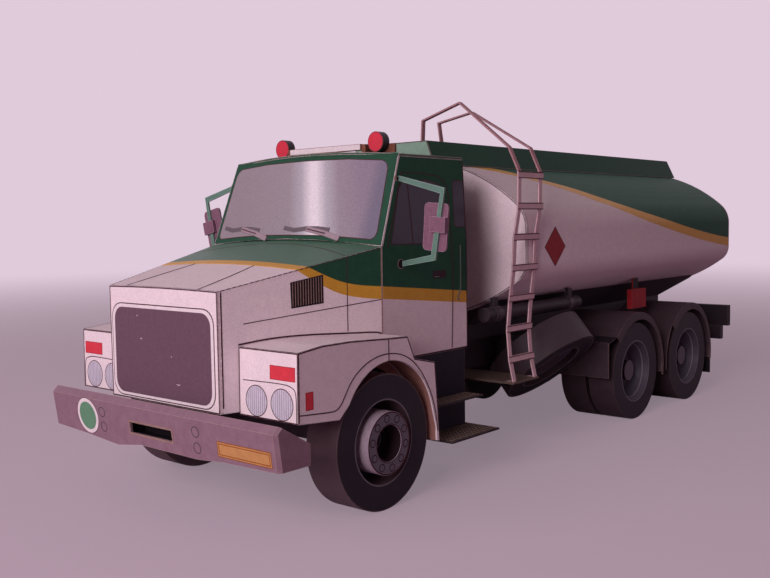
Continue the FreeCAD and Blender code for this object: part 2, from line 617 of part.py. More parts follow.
front_bumper = new_body("front_bumper")
loft(front_bumper, "AdditiveLoft", "XY_Plane", ["bumper_bottom", "bumper_fold"],
     [bumper_plan("bumper_lean"), bumper_plan("0")])
loft(front_bumper, "AdditiveLoft", "XY_Plane", ["bumper_fold", "bumper_top"],
     [bumper_plan("0"), bumper_plan("bumper_bevel")])
slot_middle = "bumper_shift / 2"
cut_through(front_bumper, "YZ_Plane", lambda sketch: outline(sketch, [
    (f"{slot_middle} - bumper_slot_half", "bumper_slot_bottom"),
    (f"{slot_middle} + bumper_slot_half", "bumper_slot_bottom"),
    (f"{slot_middle} + bumper_slot_half", "bumper_slot_top"),
    (f"{slot_middle} - bumper_slot_half", "bumper_slot_top")]))
lower_edge = [(f"bumper_shift + {out} * (bumper_half + overrun)",
               f"bumper_bottom + {up} * (bumper_fold - bumper_bottom)") for out, up in BUMPER_EDGE_SHARES]
cut_through(front_bumper, "YZ_Plane", lambda sketch: outline(sketch, lower_edge + [
    ("bumper_shift + bumper_half + overrun", "bumper_bottom - overrun"),
    ("bumper_shift - bumper_half - overrun", "bumper_bottom - overrun")]))
nodes.append(front_bumper)

# Bonnet and grille
# An open-bottomed shell that widens to the cab, with a crowned top; its sides clear the front tyres.


def bonnet_section(half, top, radius):
    """The shell's cross-section."""
    return [(half, "bonnet_bottom"), (half, top, radius), (f"-({half})", top), (f"-({half})", "bonnet_bottom"),
            (f"-({half}) + card", "bonnet_bottom"), (f"-({half}) + card", f"{top} - card", f"-{radius}"),
            (f"{half} - card", f"{top} - card"), (f"{half} - card", "bonnet_bottom")]


bonnet = new_body("bonnet")
loft(bonnet, "AdditiveLoft", "YZ_Plane", ["scuttle_x", "grille_x - card"],
     [bonnet_section("cab_half", "scuttle_top", "scuttle_radius"),
      bonnet_section("(grille_half + card * flare)", "bonnet_front_top", "grille_top_radius")])
cut_through(bonnet, "XZ_Plane", lambda sketch: ring(sketch, "front_axle_x", "wheel_radius",
                                                    "wheel_radius + wheel_room"))
nodes.append(bonnet)
grille_panel = new_body("grille_panel")
pad(grille_panel, "YZ_Plane", "grille_x - card", "card",
    [("grille_half", "bonnet_bottom"), ("grille_half", "bonnet_front_top", "grille_top_radius"),
     ("-grille_half", "bonnet_front_top"), ("-grille_half", "bonnet_bottom")])
nodes.append(grille_panel)

# Front wings
# A boxed wing with its outer side hanging just below the arch liner; its inner side follows the bonnet.
wing_length = "(wing_front + wing_rear)"
wing_height = "(wing_top - wing_bottom)"


def wing_side(lip):
    """The wing's side with the arch opened by a lip."""
    shape = [(f"front_axle_x + wing_front - {along} * {wing_length}", f"wing_bottom + {up} * {wing_height}")
             for along, up in WING_SHARES]
    foot = f"front_axle_x + {ARCH_SHARES[0][0]} * arch_radius"
    shape += [(foot, "wing_bottom"), (foot, f"wheel_radius + {ARCH_SHARES[0][1]} * arch_radius")]
    for ahead, up, *arc in ARCH_SHARES[1:]:
        shape.append((f"front_axle_x + {ahead} * (arch_radius + {lip})",
                      f"wheel_radius + {up} * (arch_radius + {lip})",
                      *[f"-{radius} * (arch_radius + {lip})" for radius in arc]))
    shape.append((f"front_axle_x + wing_front - {wing_length} * 0.256", f"wing_bottom + 0.398 * {wing_height}"))
    return shape


front_wing = new_body("front_wing_left")
side_pad(front_wing, "wing_half - card", "wing_half", wing_side("0"))
side_pad(front_wing, "grille_half - overrun", "wing_half - card", wing_side("arch_lip"))
cut_through(front_wing, "XY_Plane", lambda sketch: outline(sketch, [
    ("grille_x", "0"), ("grille_x", "grille_half + seat_gap"), ("scuttle_x", "cab_half + seat_gap"),
    ("cab_rear_x", "cab_half + seat_gap"), ("cab_rear_x", "0")]))
pair(front_wing)

# Cab
# Sides, back, floor with the front bulkhead, roof and windscreen are separate pieces of card.
screen_depth = "(card * 1.15)"
cab_side = new_body("cab_side_left")
pad(cab_side, "YZ_Plane", "cab_rear_x", "scuttle_x - cab_rear_x",
    [("cab_half", "cab_bottom"), ("cab_half", "scuttle_top"),
     ("roof_half + (cab_half - roof_half) * card / (roof_edge - scuttle_top)", "roof_edge - card"),
     ("roof_half + (cab_half - roof_half) * card / (roof_edge - scuttle_top) - card", "roof_edge - card"),
     ("cab_half - card", "scuttle_top"), ("cab_half - card", "cab_bottom")])
cut_through(cab_side, "XZ_Plane", lambda sketch: outline(sketch, [
    ("scuttle_x + overrun", "scuttle_top"), ("scuttle_x + overrun", "screen_top"),
    (f"screen_top_x - {screen_depth} - seat_gap", "screen_top"),
    (f"scuttle_x - {screen_depth} - seat_gap", "scuttle_top")]))
pair(cab_side)
cab_back = new_body("cab_back")
pad(cab_back, "YZ_Plane", "cab_rear_x", "card",
    [("cab_half - card", "cab_bottom + card"), ("cab_half - card", "scuttle_top"),
     ("roof_half - card", "roof_edge - card"), ("-roof_half + card", "roof_edge - card"),
     ("-cab_half + card", "scuttle_top"), ("-cab_half + card", "cab_bottom + card")])
nodes.append(cab_back)
cab_floor = new_body("cab_floor")
pad(cab_floor, "XZ_Plane", "-cab_half + card", "2 * (cab_half - card)",
    [("cab_rear_x", "cab_bottom"), ("scuttle_x", "cab_bottom"), ("scuttle_x", "scuttle_top - card"),
     ("scuttle_x - card", "scuttle_top - card"), ("scuttle_x - card", "cab_bottom + card"),
     ("cab_rear_x", "cab_bottom + card")])
nodes.append(cab_floor)
cab_roof = new_body("cab_roof")
pad(cab_roof, "YZ_Plane", "cab_rear_x", "scuttle_x - cab_rear_x",
    [("-roof_half", "roof_edge - card"), ("-roof_half", "roof_edge", "-roof_radius"), ("roof_half", "roof_edge"),
     ("roof_half", "roof_edge - card", "roof_radius")])
cut_through(cab_roof, "XY_Plane", lambda sketch: outline(sketch, [
    ("front_axle_x - roof_front", "-roof_half", "roof_front_radius"), ("front_axle_x - roof_front", "roof_half"),
    ("front_axle_x - roof_front", "roof_half + overrun"), ("scuttle_x + overrun", "roof_half + overrun"),
    ("scuttle_x + overrun", "-roof_half - overrun"), ("front_axle_x - roof_front", "-roof_half - overrun")]))
nodes.append(cab_roof)


def screen_plan(face, half, radius):
    """The windscreen's bent strip seen from above."""
    return [(face, f"-({half})", radius), (face, half), (f"{face} - {screen_depth}", half, f"-{radius}"),
            (f"{face} - {screen_depth}", f"-({half})")]


windscreen = new_body("windscreen_panel")
loft(windscreen, "AdditiveLoft", "XY_Plane", ["scuttle_top", "screen_top"],
     [screen_plan("scuttle_x", "cab_half", "screen_foot_radius"),
      screen_plan("screen_top_x", "screen_top_half", "screen_top_radius")])
cut_through(windscreen, "YZ_Plane", lambda sketch: outline(sketch, [
    ("-cab_half - overrun", "scuttle_top"), ("-cab_half", "scuttle_top + seat_gap", "-scuttle_radius"),
    ("cab_half", "scuttle_top + seat_gap"), ("cab_half + overrun", "scuttle_top"),
    ("cab_half + overrun", "cab_bottom"), ("-cab_half - overrun", "cab_bottom")]))
cut_through(windscreen, "YZ_Plane", lambda sketch: outline(sketch, [
    ("-cab_half - overrun", "roof_edge - card"), ("-roof_half", "roof_edge - card", "-roof_radius"),
    ("roof_half", "roof_edge - card"), ("cab_half + overrun", "roof_edge - card"),
    ("cab_half + overrun", "screen_top + overrun"), ("-cab_half - overrun", "screen_top + overrun")]))
nodes.append(windscreen)

# Roof sign and beacons
# A strip of card whose ends reach back to two short strips; a rolled beacon stands before each of these.
sign_x = "front_axle_x - sign_front"
beacon_rear = f"({sign_x} - beacon_set_back - beacon_length)"
strip_rear = f"({beacon_rear} - seat_gap - beacon_strip_card)"
sign_seat = "roof_edge + roof_crown - (sign_half / roof_half)^2 * roof_crown + seat_gap"
sign_pieces = [box("sign_bar", (f"{sign_x} - sign_depth", sign_x), ("-sign_half", "sign_half"),
                   ("sign_bottom", "sign_bottom + sign_height"))]
for side, hand in (("left", 1), ("right", -1)):
    for part, depth, ends in (
            ("end", (strip_rear, f"{sign_x} - sign_foot_set"), ("sign_half", "sign_half + sign_foot")),
            ("strip", (strip_rear, f"{strip_rear} + beacon_strip_card"), ("sign_half", "beacon_strip_half"))):
        across = ends if hand > 0 else (f"-({ends[1]})", f"-({ends[0]})")
        sign_pieces.append(box(f"sign_{part}_{side}", depth, across, (sign_seat, "beacon_strip_top")))
nodes.append(joined("roof_sign", sign_pieces))
beacon = rod("beacon_left", "beacon_radius", "beacon_length", (beacon_rear, "beacon_place", "beacon_height"), "X")
pair(beacon)

# Mirrors
# A bent strip stands out from each cab side and carries a rounded head on its rear face.
mirror_x = "front_axle_x - mirror_back"
upper_wall = "(cab_half - (cab_half - roof_half) * (bracket_upper_hole - scuttle_top) / (roof_edge - scuttle_top))"
bracket = new_body("mirror_bracket_left")
strip = "bracket_width / 2"
pad(bracket, "YZ_Plane", f"{mirror_x} - bracket_card", "bracket_card",
    [(f"{upper_wall} + seat_gap", f"bracket_upper_hole - {strip}"),
     (f"{upper_wall} + seat_gap", f"bracket_upper_hole + {strip}"),
     (f"bracket_top_half + {strip}", f"bracket_top + {strip}"),
     (f"bracket_low_half + {strip}", f"bracket_low - {strip}"),
     ("cab_half + seat_gap", f"bracket_lower_hole - {strip}"),
     ("cab_half + seat_gap", f"bracket_lower_hole + {strip}"),
     (f"bracket_low_half - {strip}", f"bracket_low + {strip}"),
     (f"bracket_top_half - {strip}", f"bracket_top - {strip}")])
pair(bracket)


def mirror_head(label, lean_angle):
    """A rounded card head with a clip that holds it to the bracket."""
    head = new_body(label)
    wide, high, bend = "mirror_half_width", "mirror_half_height", "mirror_round"
    pad(head, "YZ_Plane", "-mirror_card", "mirror_card",
        [(f"-{wide} + {bend}", f"-{high}"), (f"{wide} - {bend}", f"-{high}", bend), (wide, f"-{high} + {bend}"),
         (wide, f"{high} - {bend}", bend), (f"{wide} - {bend}", high), (f"-{wide} + {bend}", high, bend),
         (f"-{wide}", f"{high} - {bend}"), (f"-{wide}", f"-{high} + {bend}", bend)])
    room = "(bracket_card + 2 * seat_gap)"
    pad(head, "YZ_Plane", "0", f"{room} + clip_card",
        [("clip_inner", "clip_low"), (wide, "clip_low"), (wide, "clip_high"), ("clip_inner", "clip_high")])
    cut_through(head, "XY_Plane", lambda sketch: outline(sketch, [
        ("0", f"mirror_aside - {strip} - clip_play"), (room, f"mirror_aside - {strip} - clip_play"),
        (room, f"mirror_aside + {strip} + clip_play"), ("0", f"mirror_aside + {strip} + clip_play")]))
    head.Placement = Placement(Vector(value(f"{mirror_x} - bracket_card - seat_gap"), value("mirror_middle_half"),
                                      value("mirror_middle")), Rotation(Vector(1, 0, 0), -value(lean_angle)))
    return head


nodes.append(mirror_head("mirror_head_left", "mirror_lean_left"))
nodes.append(mirrored("mirror_head_right", mirror_head("mirror_head_form", "mirror_lean_right")))

# Wipers
# Flat cut-outs that lie on the windscreen; each arm rises from its foot on the bonnet to the right.
lean = math.degrees(math.atan2(value("roof_front - scuttle"), value("roof_edge - scuttle_top")))
for side, hand in (("left", 1), ("right", -1)):
    wiper = new_body("wiper_" + side)
    half = "wiper_width / 2"
    pad(wiper, "YZ_Plane", "0", "wiper_card",
        [(f"-wiper_reach - wiper_blade / 2", f"wiper_rise - {half}"),
         (f"-wiper_reach - {half}", f"wiper_rise - {half}"), (f"-{half}", f"-{half}"), (half, "0"),
         (f"-wiper_reach + wiper_blade / 2", f"wiper_rise - {half}"),
         (f"-wiper_reach + wiper_blade / 2", f"wiper_rise"), (f"-wiper_reach - wiper_blade / 2", f"wiper_rise")])
    ends = [value(f"wiper_shift + wiper_pitch / 2 * {hand} {sign} wiper_blade / 2") for sign in "-+"]
    ends[1] = value(f"wiper_shift + wiper_pitch / 2 * {hand} + wiper_reach")
    bulges = [value("screen_bulge") * (1 - (end / value("cab_half"))**2) for end in ends]
    turn = math.degrees(math.atan2(bulges[0] - bulges[1], ends[1] - ends[0]))
    slack = ((ends[1] - ends[0]) / 2)**2 * value("screen_bulge") / value("cab_half")**2
    rest = value("scuttle_top") + value("scuttle_crown") * (1 - (ends[1] / value("cab_half"))**2)
    wiper.Placement = Placement(Vector(value("scuttle_x + 2 * seat_gap") + bulges[1] + slack, ends[1], rest),
                                Rotation(Vector(0, 0, 1), turn) * Rotation(Vector(0, 1, 0), -lean))
    nodes.append(wiper)

# Steps
# A box below each door with two card treads.
step_x = ("front_axle_x - step_rear", "front_axle_x - step_front")
nodes_steps = [box("step_box", step_x, ("step_inner", "step_half"), ("step_bottom", "cab_bottom")),
               box("upper_tread", ("front_axle_x - step_rear", "front_axle_x - tread_front"),
                   ("step_half - card", "upper_tread_half"), ("upper_tread_top - thin_card", "upper_tread_top")),
               box("lower_tread", ("front_axle_x - lower_tread_rear", "front_axle_x - tread_front"),
                   ("step_inner", "lower_tread_half"), ("lower_tread_top - thin_card", "lower_tread_top"))]
pair(joined("steps_left", nodes_steps))

# Tank
# A closed drum of an oval section with its two end plates, on a long bearer that flares up to it.


def tank_section():
    """The drum's section from its lower left corner round the top."""
    return [("lower_join_y", "lower_join_z", "tank_bottom_corner"), ("tank_half", "lower_side"),
            ("tank_half", "upper_side", "tank_top_corner"), ("upper_join_y", "upper_join_z", "tank_top_radius"),
            ("-upper_join_y", "upper_join_z", "tank_top_corner"), ("-tank_half", "upper_side"),
            ("-tank_half", "lower_side", "tank_bottom_corner"),
            ("-lower_join_y", "lower_join_z", "tank_bottom_radius")]


for label, level, length in (("tank_body", "tank_rear_x + card", "tank_front_x - tank_rear_x - 2 * card"),
                             ("tank_front_end", "tank_front_x - card", "card"),
                             ("tank_rear_end", "tank_rear_x", "card")):
    drum = new_body(label)
    pad(drum, "YZ_Plane", level, length, tank_section())
    nodes.append(drum)
bearer = new_body("tank_bearer")
bearer_x = "(tank_rear_x + bearer_inset)"
pad(bearer, "YZ_Plane", bearer_x, "tank_front_x - tank_rear_x - 2 * bearer_inset",
    [("-bearer_foot_half", "frame_top"), ("bearer_foot_half", "frame_top"), ("bearer_foot_half", "bearer_knee"),
     ("bearer_top_half", "bearer_top", "-bearer_radius"), ("-bearer_top_half", "bearer_top"),
     ("-bearer_foot_half", "bearer_knee")])
cut_through(bearer, "XZ_Plane", lambda sketch: outline(sketch, [
    (f"{bearer_x} - overrun", "frame_top - overrun"), (f"{bearer_x} + bearer_slope", "frame_top - overrun"),
    (f"{bearer_x} + bearer_slope", "bearer_knee"), (f"{bearer_x} - overrun", "bearer_top - card")]))
nodes.append(bearer)

# Walkway on the tank
# Four leaning walls of card along the crown, open at the top, with lids on a strip between them.


def tray_plan(half, end, wall):
    """The walls seen from above."""
    front = f"tank_front_x + tray_lead - {end} - {wall}"
    rear = f"tank_rear_x - tray_trail + {end} + {wall}"
    side = f"{half} - {wall}"
    return [(rear, f"-({side})"), (front, f"-({side})"), (front, side), (rear, side)]


tray = new_body("walkway_coaming")
loft(tray, "AdditiveLoft", "XY_Plane", ["tray_bottom", "tray_top"],
     [tray_plan("tray_bottom_half", "0", "0"), tray_plan("tray_top_half", "tray_lean", "0")])
loft(tray, "SubtractiveLoft", "XY_Plane", ["tray_bottom", "tray_top"],
     [tray_plan("tray_bottom_half", "0", "card"), tray_plan("tray_top_half", "tray_lean", "card")])
nodes.append(tray)
strip_length = "(tank_rear - tank_front - 2 * lid_margin)"
lid_pieces = [box("lid_strip", ("tank_rear_x + lid_margin", "tank_front_x - lid_margin"),
                  ("-lid_strip_half", "lid_strip_half"), ("tank_top", "tank_top + lid_strip_height"))]
for number in range(int(value("lid_count"))):
    lid_pieces.append(rod(f"lid_{number}", "lid_radius", "lid_height",
                          (f"tank_rear_x + lid_margin + ({number} + 0.5) * {strip_length} / lid_count", "0",
                           "tank_top + lid_strip_height"), "Z"))
nodes.append(joined("walkway_lids", lid_pieces))

# Ladder
# One bent sheet follows the tank's left side down to its platform; the openings leave rungs and rails.
ladder = new_body("ladder")
ladder_points = [(f"{out} * tank_half", f"{up} * ladder_top") for out, up in LADDER_SHARES]
ladder_points.insert(0, ("ladder_foot_half", "platform_top"))
pad(ladder, "YZ_Plane", "front_axle_x - ladder_rear", "ladder_width",
    ladder_points + [(f"{out} + thin_card", up) for out, up in reversed(ladder_points)])
opening_low = "(front_axle_x - ladder_rear + ladder_rail)"
opening_high = "(front_axle_x - ladder_front - ladder_rail)"
first_low = "(ladder_top - ladder_rung - ladder_bays * ladder_pitch + ladder_rung)"
first_opening = cut_through(ladder, "XZ_Plane", lambda sketch: outline(sketch, [
    (opening_low, first_low), (opening_high, first_low), (opening_high, f"{first_low} + ladder_pitch - ladder_rung"),
    (opening_low, f"{first_low} + ladder_pitch - ladder_rung")]))
openings = ladder.newObject("PartDesign::LinearPattern", "ladder_openings")
openings.Originals = [first_opening]
openings.Direction = (next(item for item in ladder.Origin.OriginFeatures if item.Role == "Z_Axis"), [""])
openings.setExpression("Length", formula("ladder_pitch * (ladder_bays - 1)"))
openings.setExpression("Occurrences", formula("ladder_bays"))
ladder.Tip = openings
cut_through(ladder, "XZ_Plane", lambda sketch: outline(sketch, [
    (opening_low, "frame_bottom"), (opening_high, "frame_bottom"), (opening_high, f"{first_low} - ladder_rung"),
    (opening_low, f"{first_low} - ladder_rung")]))
nodes.append(ladder)
platform = box("ladder_platform", ("front_axle_x - platform_rear", "front_axle_x - platform_front"),
               ("frame_half", "platform_half"), ("frame_bottom", "platform_top"))
nodes.append(platform)

# Hoops over the walkway
# Each strip rises from a ladder rail, bends over the near edge of the walkway and lands inside it.
for label, level, peak, shares in (
        ("hoop_front", "front_axle_x - ladder_front - ladder_rail / 2", "front_hoop_peak", FRONT_HOOP_SHARES),
        ("hoop_rear", "front_axle_x - ladder_rear + ladder_rail / 2", "rear_hoop_peak", REAR_HOOP_SHARES)):
    hoop = new_body(label)
    path = new_sketch(hoop, "YZ_Plane", level)
    route = [("hoop_foot", "hoop_seat")]
    route += [(f"{out} * tank_half", f"ladder_top + {up} * ({peak} - ladder_top)") for out, up in shares]
    route.append((f"{LADDER_SHARES[-1][0]} * tank_half + thin_card / 2", "ladder_top + seat_gap"))
    points = [Vector(value(out), value(up), 0) for out, up in route]
    for number in range(len(points) - 1):
        path.addGeometry(Part.LineSegment(points[number], points[number + 1]), False)
    for number, (out, up) in enumerate(route):
        edge, end = (number, 1) if number < len(route) - 1 else (number - 1, 2)
        if 0 < number < len(route) - 1:
            path.addConstraint(Sketcher.Constraint("Coincident", number - 1, 2, number, 1))
        fix(path, "DistanceX", out, -1, 1, edge, end)
        fix(path, "DistanceY", up, -1, 1, edge, end)
    section = new_sketch(hoop, "XY_Plane", "hoop_seat")
    wide, thick = "ladder_rail / 2", "thin_card / 2"
    outline(section, [(f"{level} - {wide}", f"hoop_foot - {thick}"), (f"{level} + {wide}", f"hoop_foot - {thick}"),
                      (f"{level} + {wide}", f"hoop_foot + {thick}"), (f"{level} - {wide}", f"hoop_foot + {thick}")])
    sweep = hoop.newObject("PartDesign::AdditivePipe", label + "_sweep")
    sweep.Profile = section
    sweep.Spine = (path, [f"Edge{number + 1}" for number in range(len(points) - 1)])
    sweep.Transition = "Right corner"
    nodes.append(hoop)

# Spare wheel
# It lies tilted on a wedge at the left rail, with its face turned out and down.
spare = new_body("spare_wheel")
turned(spare, "0", "0",
       [("0", "0"), ("0", "wheel_radius"), ("spare_width", "wheel_radius"), ("spare_width", "rim_radius"),
        ("spare_width - spare_recess", "rim_radius"), ("spare_width - spare_recess", "spare_hub_radius"),
        ("spare_width - spare_recess + spare_hub_height", "spare_hub_radius"),
        ("spare_width - spare_recess + spare_hub_height", "0")])
spare.Placement = Placement(Vector(value("front_axle_x - spare_back"), value("spare_centre_y"),
                                   value("spare_centre_z")), Rotation(Vector(1, 0, 0), -value("spare_tilt")))
nodes.append(spare)
carrier = new_body("spare_carrier")
back_y = "spare_centre_y - seat_gap * cos(spare_tilt * 1 deg)"
back_z = "spare_centre_z + seat_gap * sin(spare_tilt * 1 deg)"
pad(carrier, "YZ_Plane", "front_axle_x - spare_back - carrier_length / 2", "carrier_length",
    [("frame_half", f"{back_z} - carrier_down * cos(spare_tilt * 1 deg)"),
     (f"{back_y} - carrier_down * sin(spare_tilt * 1 deg)", f"{back_z} - carrier_down * cos(spare_tilt * 1 deg)"),
     (f"{back_y} + carrier_up * sin(spare_tilt * 1 deg)", f"{back_z} + carrier_up * cos(spare_tilt * 1 deg)"),
     (f"{back_y} - carrier_up", "frame_top"), ("frame_half", "frame_top")])
nodes.append(carrier)

# Hose tube
# A tube below the tank's left side, hung by two straps.
hose_x = ("(tank_front_x + hose_lead - hose_length)", "(tank_front_x + hose_lead)")
hose_pieces = [rod("hose_pipe", "hose_radius", "hose_length", (hose_x[0], "hose_half", "hose_height"), "X")]
tank_under = "lower_centre - sqrt(tank_bottom_radius^2 - (hose_half - card)^2) - seat_gap"
for number, start in enumerate((f"{hose_x[0]} + strap_set", f"{hose_x[1]} - strap_set - strap_length")):
    hose_pieces.append(rod(f"hose_strap_{number}", "hose_radius + strap_card", "strap_length",
                           (start, "hose_half", "hose_height"), "X"))
    hose_pieces.append(box(f"hose_hanger_{number}", (start, f"{start} + strap_length"),
                           ("hose_half - card", "hose_half + card"), ("hose_height", tank_under)))
nodes.append(joined("hose_tube", hose_pieces))

# Red box and fuel tank
red_x = ("(rear_axle_x - red_box_lag - red_box_length)", "(rear_axle_x - red_box_lag)")
red_under = "lower_centre - sqrt(tank_bottom_radius^2 - red_box_inner^2) - seat_gap"
red_pieces = [box("red_case", red_x, ("red_box_inner", "red_box_inner + red_box_depth"),
                  ("red_box_bottom", "red_box_top")),
              box("red_hanger", (f"{red_x[0]} + (red_box_length - red_hanger_length) / 2",
                                 f"{red_x[1]} - (red_box_length - red_hanger_length) / 2"),
                  ("red_box_inner", "red_box_inner + thin_card"), ("red_box_bottom", red_under))]
nodes.append(joined("red_box", red_pieces))
fuel = new_body("fuel_tank")
pad(fuel, "YZ_Plane", "front_axle_x - fuel_rear", "fuel_rear - fuel_front",
    [("-fuel_half + fuel_round", "fuel_bottom"), ("-frame_half", "fuel_bottom"), ("-frame_half", "fuel_top"),
     ("-fuel_half + fuel_round", "fuel_top", "fuel_round"), ("-fuel_half", "fuel_top - fuel_round"),
     ("-fuel_half", "fuel_bottom + fuel_round", "fuel_round")])
nodes.append(fuel)

# Rear mudguards
# Half tubes round the rear wheels with a lip on their outer side; the first one has a straight flap ahead.


def arc_point(axle, radius, angle):
    """A point round an axle, its angle measured up from the front."""
    return (f"{axle} + ({radius}) * cos(({angle}) * 1 deg)", f"wheel_radius + ({radius}) * sin(({angle}) * 1 deg)")


for number, axle in ((1, "rear_axle_x"), (2, "last_axle_x")):
    guard = new_body(f"mudguard_{number}_left")
    rear_angle = "180 + guard_drop"
    front_angle = "guard_front_angle" if number == 1 else "-guard_drop"
    band = [(*arc_point(axle, "guard_radius", front_angle), "guard_radius"),
            (*arc_point(axle, "guard_radius", "90"), "guard_radius"), arc_point(axle, "guard_radius", rear_angle),
            (*arc_point(axle, "guard_radius - thin_card", rear_angle), "-guard_radius - thin_card"),
            (*arc_point(axle, "guard_radius - thin_card", "90"), "-guard_radius - thin_card")]
    if number == 1:
        reach = f"{axle} + guard_flap_reach"
        band += [arc_point(axle, "guard_radius - thin_card", front_angle),
                 (f"{reach} - thin_card", "guard_flap_top"), (f"{reach} - thin_card", "guard_flap_bottom"),
                 (reach, "guard_flap_bottom"), (reach, "guard_flap_top + thin_card")]
    else:
        band.append(arc_point(axle, "guard_radius - thin_card", front_angle))
    side_pad(guard, "bearer_foot_half + seat_gap", "guard_half", band)
    lip_axle = f"{axle} - guard_lip_shift"
    lip_front = "guard_front_angle"
    lip = [(*arc_point(axle, "guard_radius", lip_front), "guard_radius"),
           (*arc_point(axle, "guard_radius", "90"), "guard_radius"), arc_point(axle, "guard_radius", rear_angle)]
    for angle in (rear_angle, "90", lip_front):
        along, up = arc_point(lip_axle, "guard_lip_radius", angle)
        lip.append((along, f"{up} - guard_lip_shift", "-guard_lip_radius")[:2 if angle == lip_front else 3])
    side_pad(guard, "guard_half", "guard_half + thin_card", lip)
    pair(guard)
flap = box("mud_flap_left", ("last_axle_x - guard_radius - thin_card", "last_axle_x - guard_radius"),
           ("flap_inner", "guard_half"), ("flap_bottom", "flap_top"))
pair(flap)

# Rear board and lamps
rear_x = ("rear_face_x", "board_x")
nodes.append(box("rear_board", rear_x, ("-board_half", "board_half"), ("board_bottom", "board_top")))
pair(box("rear_lamp_left", rear_x, ("lamp_inner", "lamp_outer"), ("lamp_bottom", "board_bottom")))

# Front wheels
# A tyre with a wide opening, and a hub whose drum stands out through it.
tyre_out = "front_track_half"
tyre_in = "(front_track_half - front_tyre_width)"
front_tyre = new_body("front_tyre_left")
turned(front_tyre, "front_axle_x", "wheel_radius",
       [(tyre_in, "rim_radius"), (tyre_in, "wheel_radius"), (tyre_out, "wheel_radius"), (tyre_out, "rim_radius")])
pair(front_tyre)
front_hub = new_body("front_hub_left")
drum_out = "(front_track_half + drum_stand)"
turned(front_hub, "front_axle_x", "wheel_radius",
       [(tyre_in, "bore_radius"), (tyre_in, "rim_radius"), (f"{tyre_in} + drum_web", "rim_radius"),
        (f"{tyre_in} + drum_web", "drum_radius"), (drum_out, "drum_radius"), (drum_out, "drum_bore_radius"),
        (f"{drum_out} - drum_bore_depth", "drum_bore_radius"), (f"{drum_out} - drum_bore_depth", "bore_radius")])
pair(front_hub)

# Rear wheels
# Twin tyres on one core, with a dished rim and a standing hub.
rear_out = "rear_track_half"
rear_in = "(rear_track_half - 2 * rear_tyre_width - twin_gap)"
dish = "(rear_track_half - dish_depth)"
hub_end = f"({dish} + hub_height)"
for number, axle in ((1, "rear_axle_x"), (2, "last_axle_x")):
    rear_wheel = new_body(f"rear_wheels_{number}_left")
    turned(rear_wheel, axle, "wheel_radius",
           [(rear_in, "bore_radius"), (rear_in, "wheel_radius"), (f"{rear_in} + rear_tyre_width", "wheel_radius"),
            (f"{rear_in} + rear_tyre_width", "twin_core_radius"),
            (f"{rear_out} - rear_tyre_width", "twin_core_radius"), (f"{rear_out} - rear_tyre_width", "wheel_radius"),
            (rear_out, "wheel_radius"), (rear_out, "rim_radius"), (dish, "dish_radius"), (dish, "hub_radius"),
            (hub_end, "hub_radius"), (hub_end, "0"), (f"{hub_end} - hub_wall + axle_clearance", "0"),
            (f"{hub_end} - hub_wall + axle_clearance", "bore_radius")])
    pair(rear_wheel)

# Checks and export
doc.recompute()
failed = [item.Label for item in doc.Objects if "Invalid" in item.State or "Error" in item.State]
unsound = [node.Label for node in nodes
           if node.Shape.isNull() or not node.Shape.isValid() or len(node.Shape.Solids) != 1]
if failed or unsound:
    raise RuntimeError(f"failed: {failed}, not one sound solid: {unsound}")
for node in nodes:
    node.Shape.exportStep(os.path.join("parts", node.Label + ".step"))
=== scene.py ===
import math

import bmesh
import bpy
from mathutils import Matrix, Vector


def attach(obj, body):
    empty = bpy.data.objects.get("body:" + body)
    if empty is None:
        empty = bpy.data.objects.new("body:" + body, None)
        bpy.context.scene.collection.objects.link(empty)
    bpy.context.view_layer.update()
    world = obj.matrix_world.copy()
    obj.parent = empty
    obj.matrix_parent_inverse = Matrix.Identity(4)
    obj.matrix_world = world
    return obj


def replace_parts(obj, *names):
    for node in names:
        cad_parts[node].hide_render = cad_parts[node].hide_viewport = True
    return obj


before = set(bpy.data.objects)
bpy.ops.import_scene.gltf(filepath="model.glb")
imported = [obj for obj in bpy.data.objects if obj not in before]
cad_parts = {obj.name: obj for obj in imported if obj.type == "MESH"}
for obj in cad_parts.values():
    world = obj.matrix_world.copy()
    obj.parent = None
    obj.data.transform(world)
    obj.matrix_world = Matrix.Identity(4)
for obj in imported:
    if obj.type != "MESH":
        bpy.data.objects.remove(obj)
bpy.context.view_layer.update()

# Floor, lamps and camera
# The model stands on a pale sheet of paper that runs on without an edge. Two lamps stand ahead of the truck, so
# that its front is bright and its left side lies in half shade, and a weak broad one hangs above.


def hex_colour(code):
    """An sRGB hex value as the linear colour that a shader takes."""
    parts = [int(code[place:place + 2], 16) / 255 for place in (1, 3, 5)]
    return tuple(c / 12.92 if c <= 0.04045 else ((c + 0.055) / 1.055) ** 2.4 for c in parts) + (1.0,)


def add_node(tree, kind, settings=None, inputs=None):
    """Add a node with its settings; an input takes a value or another node's output."""
    node = tree.nodes.new(kind)
    for name, setting in (settings or {}).items():
        setattr(node, name, setting)
    for name, given in (inputs or {}).items():
        if isinstance(given, bpy.types.NodeSocket):
            tree.links.new(given, node.inputs[name])
        else:
            node.inputs[name].default_value = given
    return node


def new_material(name):
    """An empty material and its node tree."""
    material = bpy.data.materials.new(name)
    material.use_nodes = True
    material.node_tree.nodes.clear()
    return material, material.node_tree


floor_mesh = bmesh.new()
bmesh.ops.create_circle(floor_mesh, cap_ends=True, radius=4.0, segments=96)
floor_data = bpy.data.meshes.new("floor")
floor_mesh.to_mesh(floor_data)
floor_mesh.free()
floor = bpy.data.objects.new("floor", floor_data)
bpy.context.scene.collection.objects.link(floor)
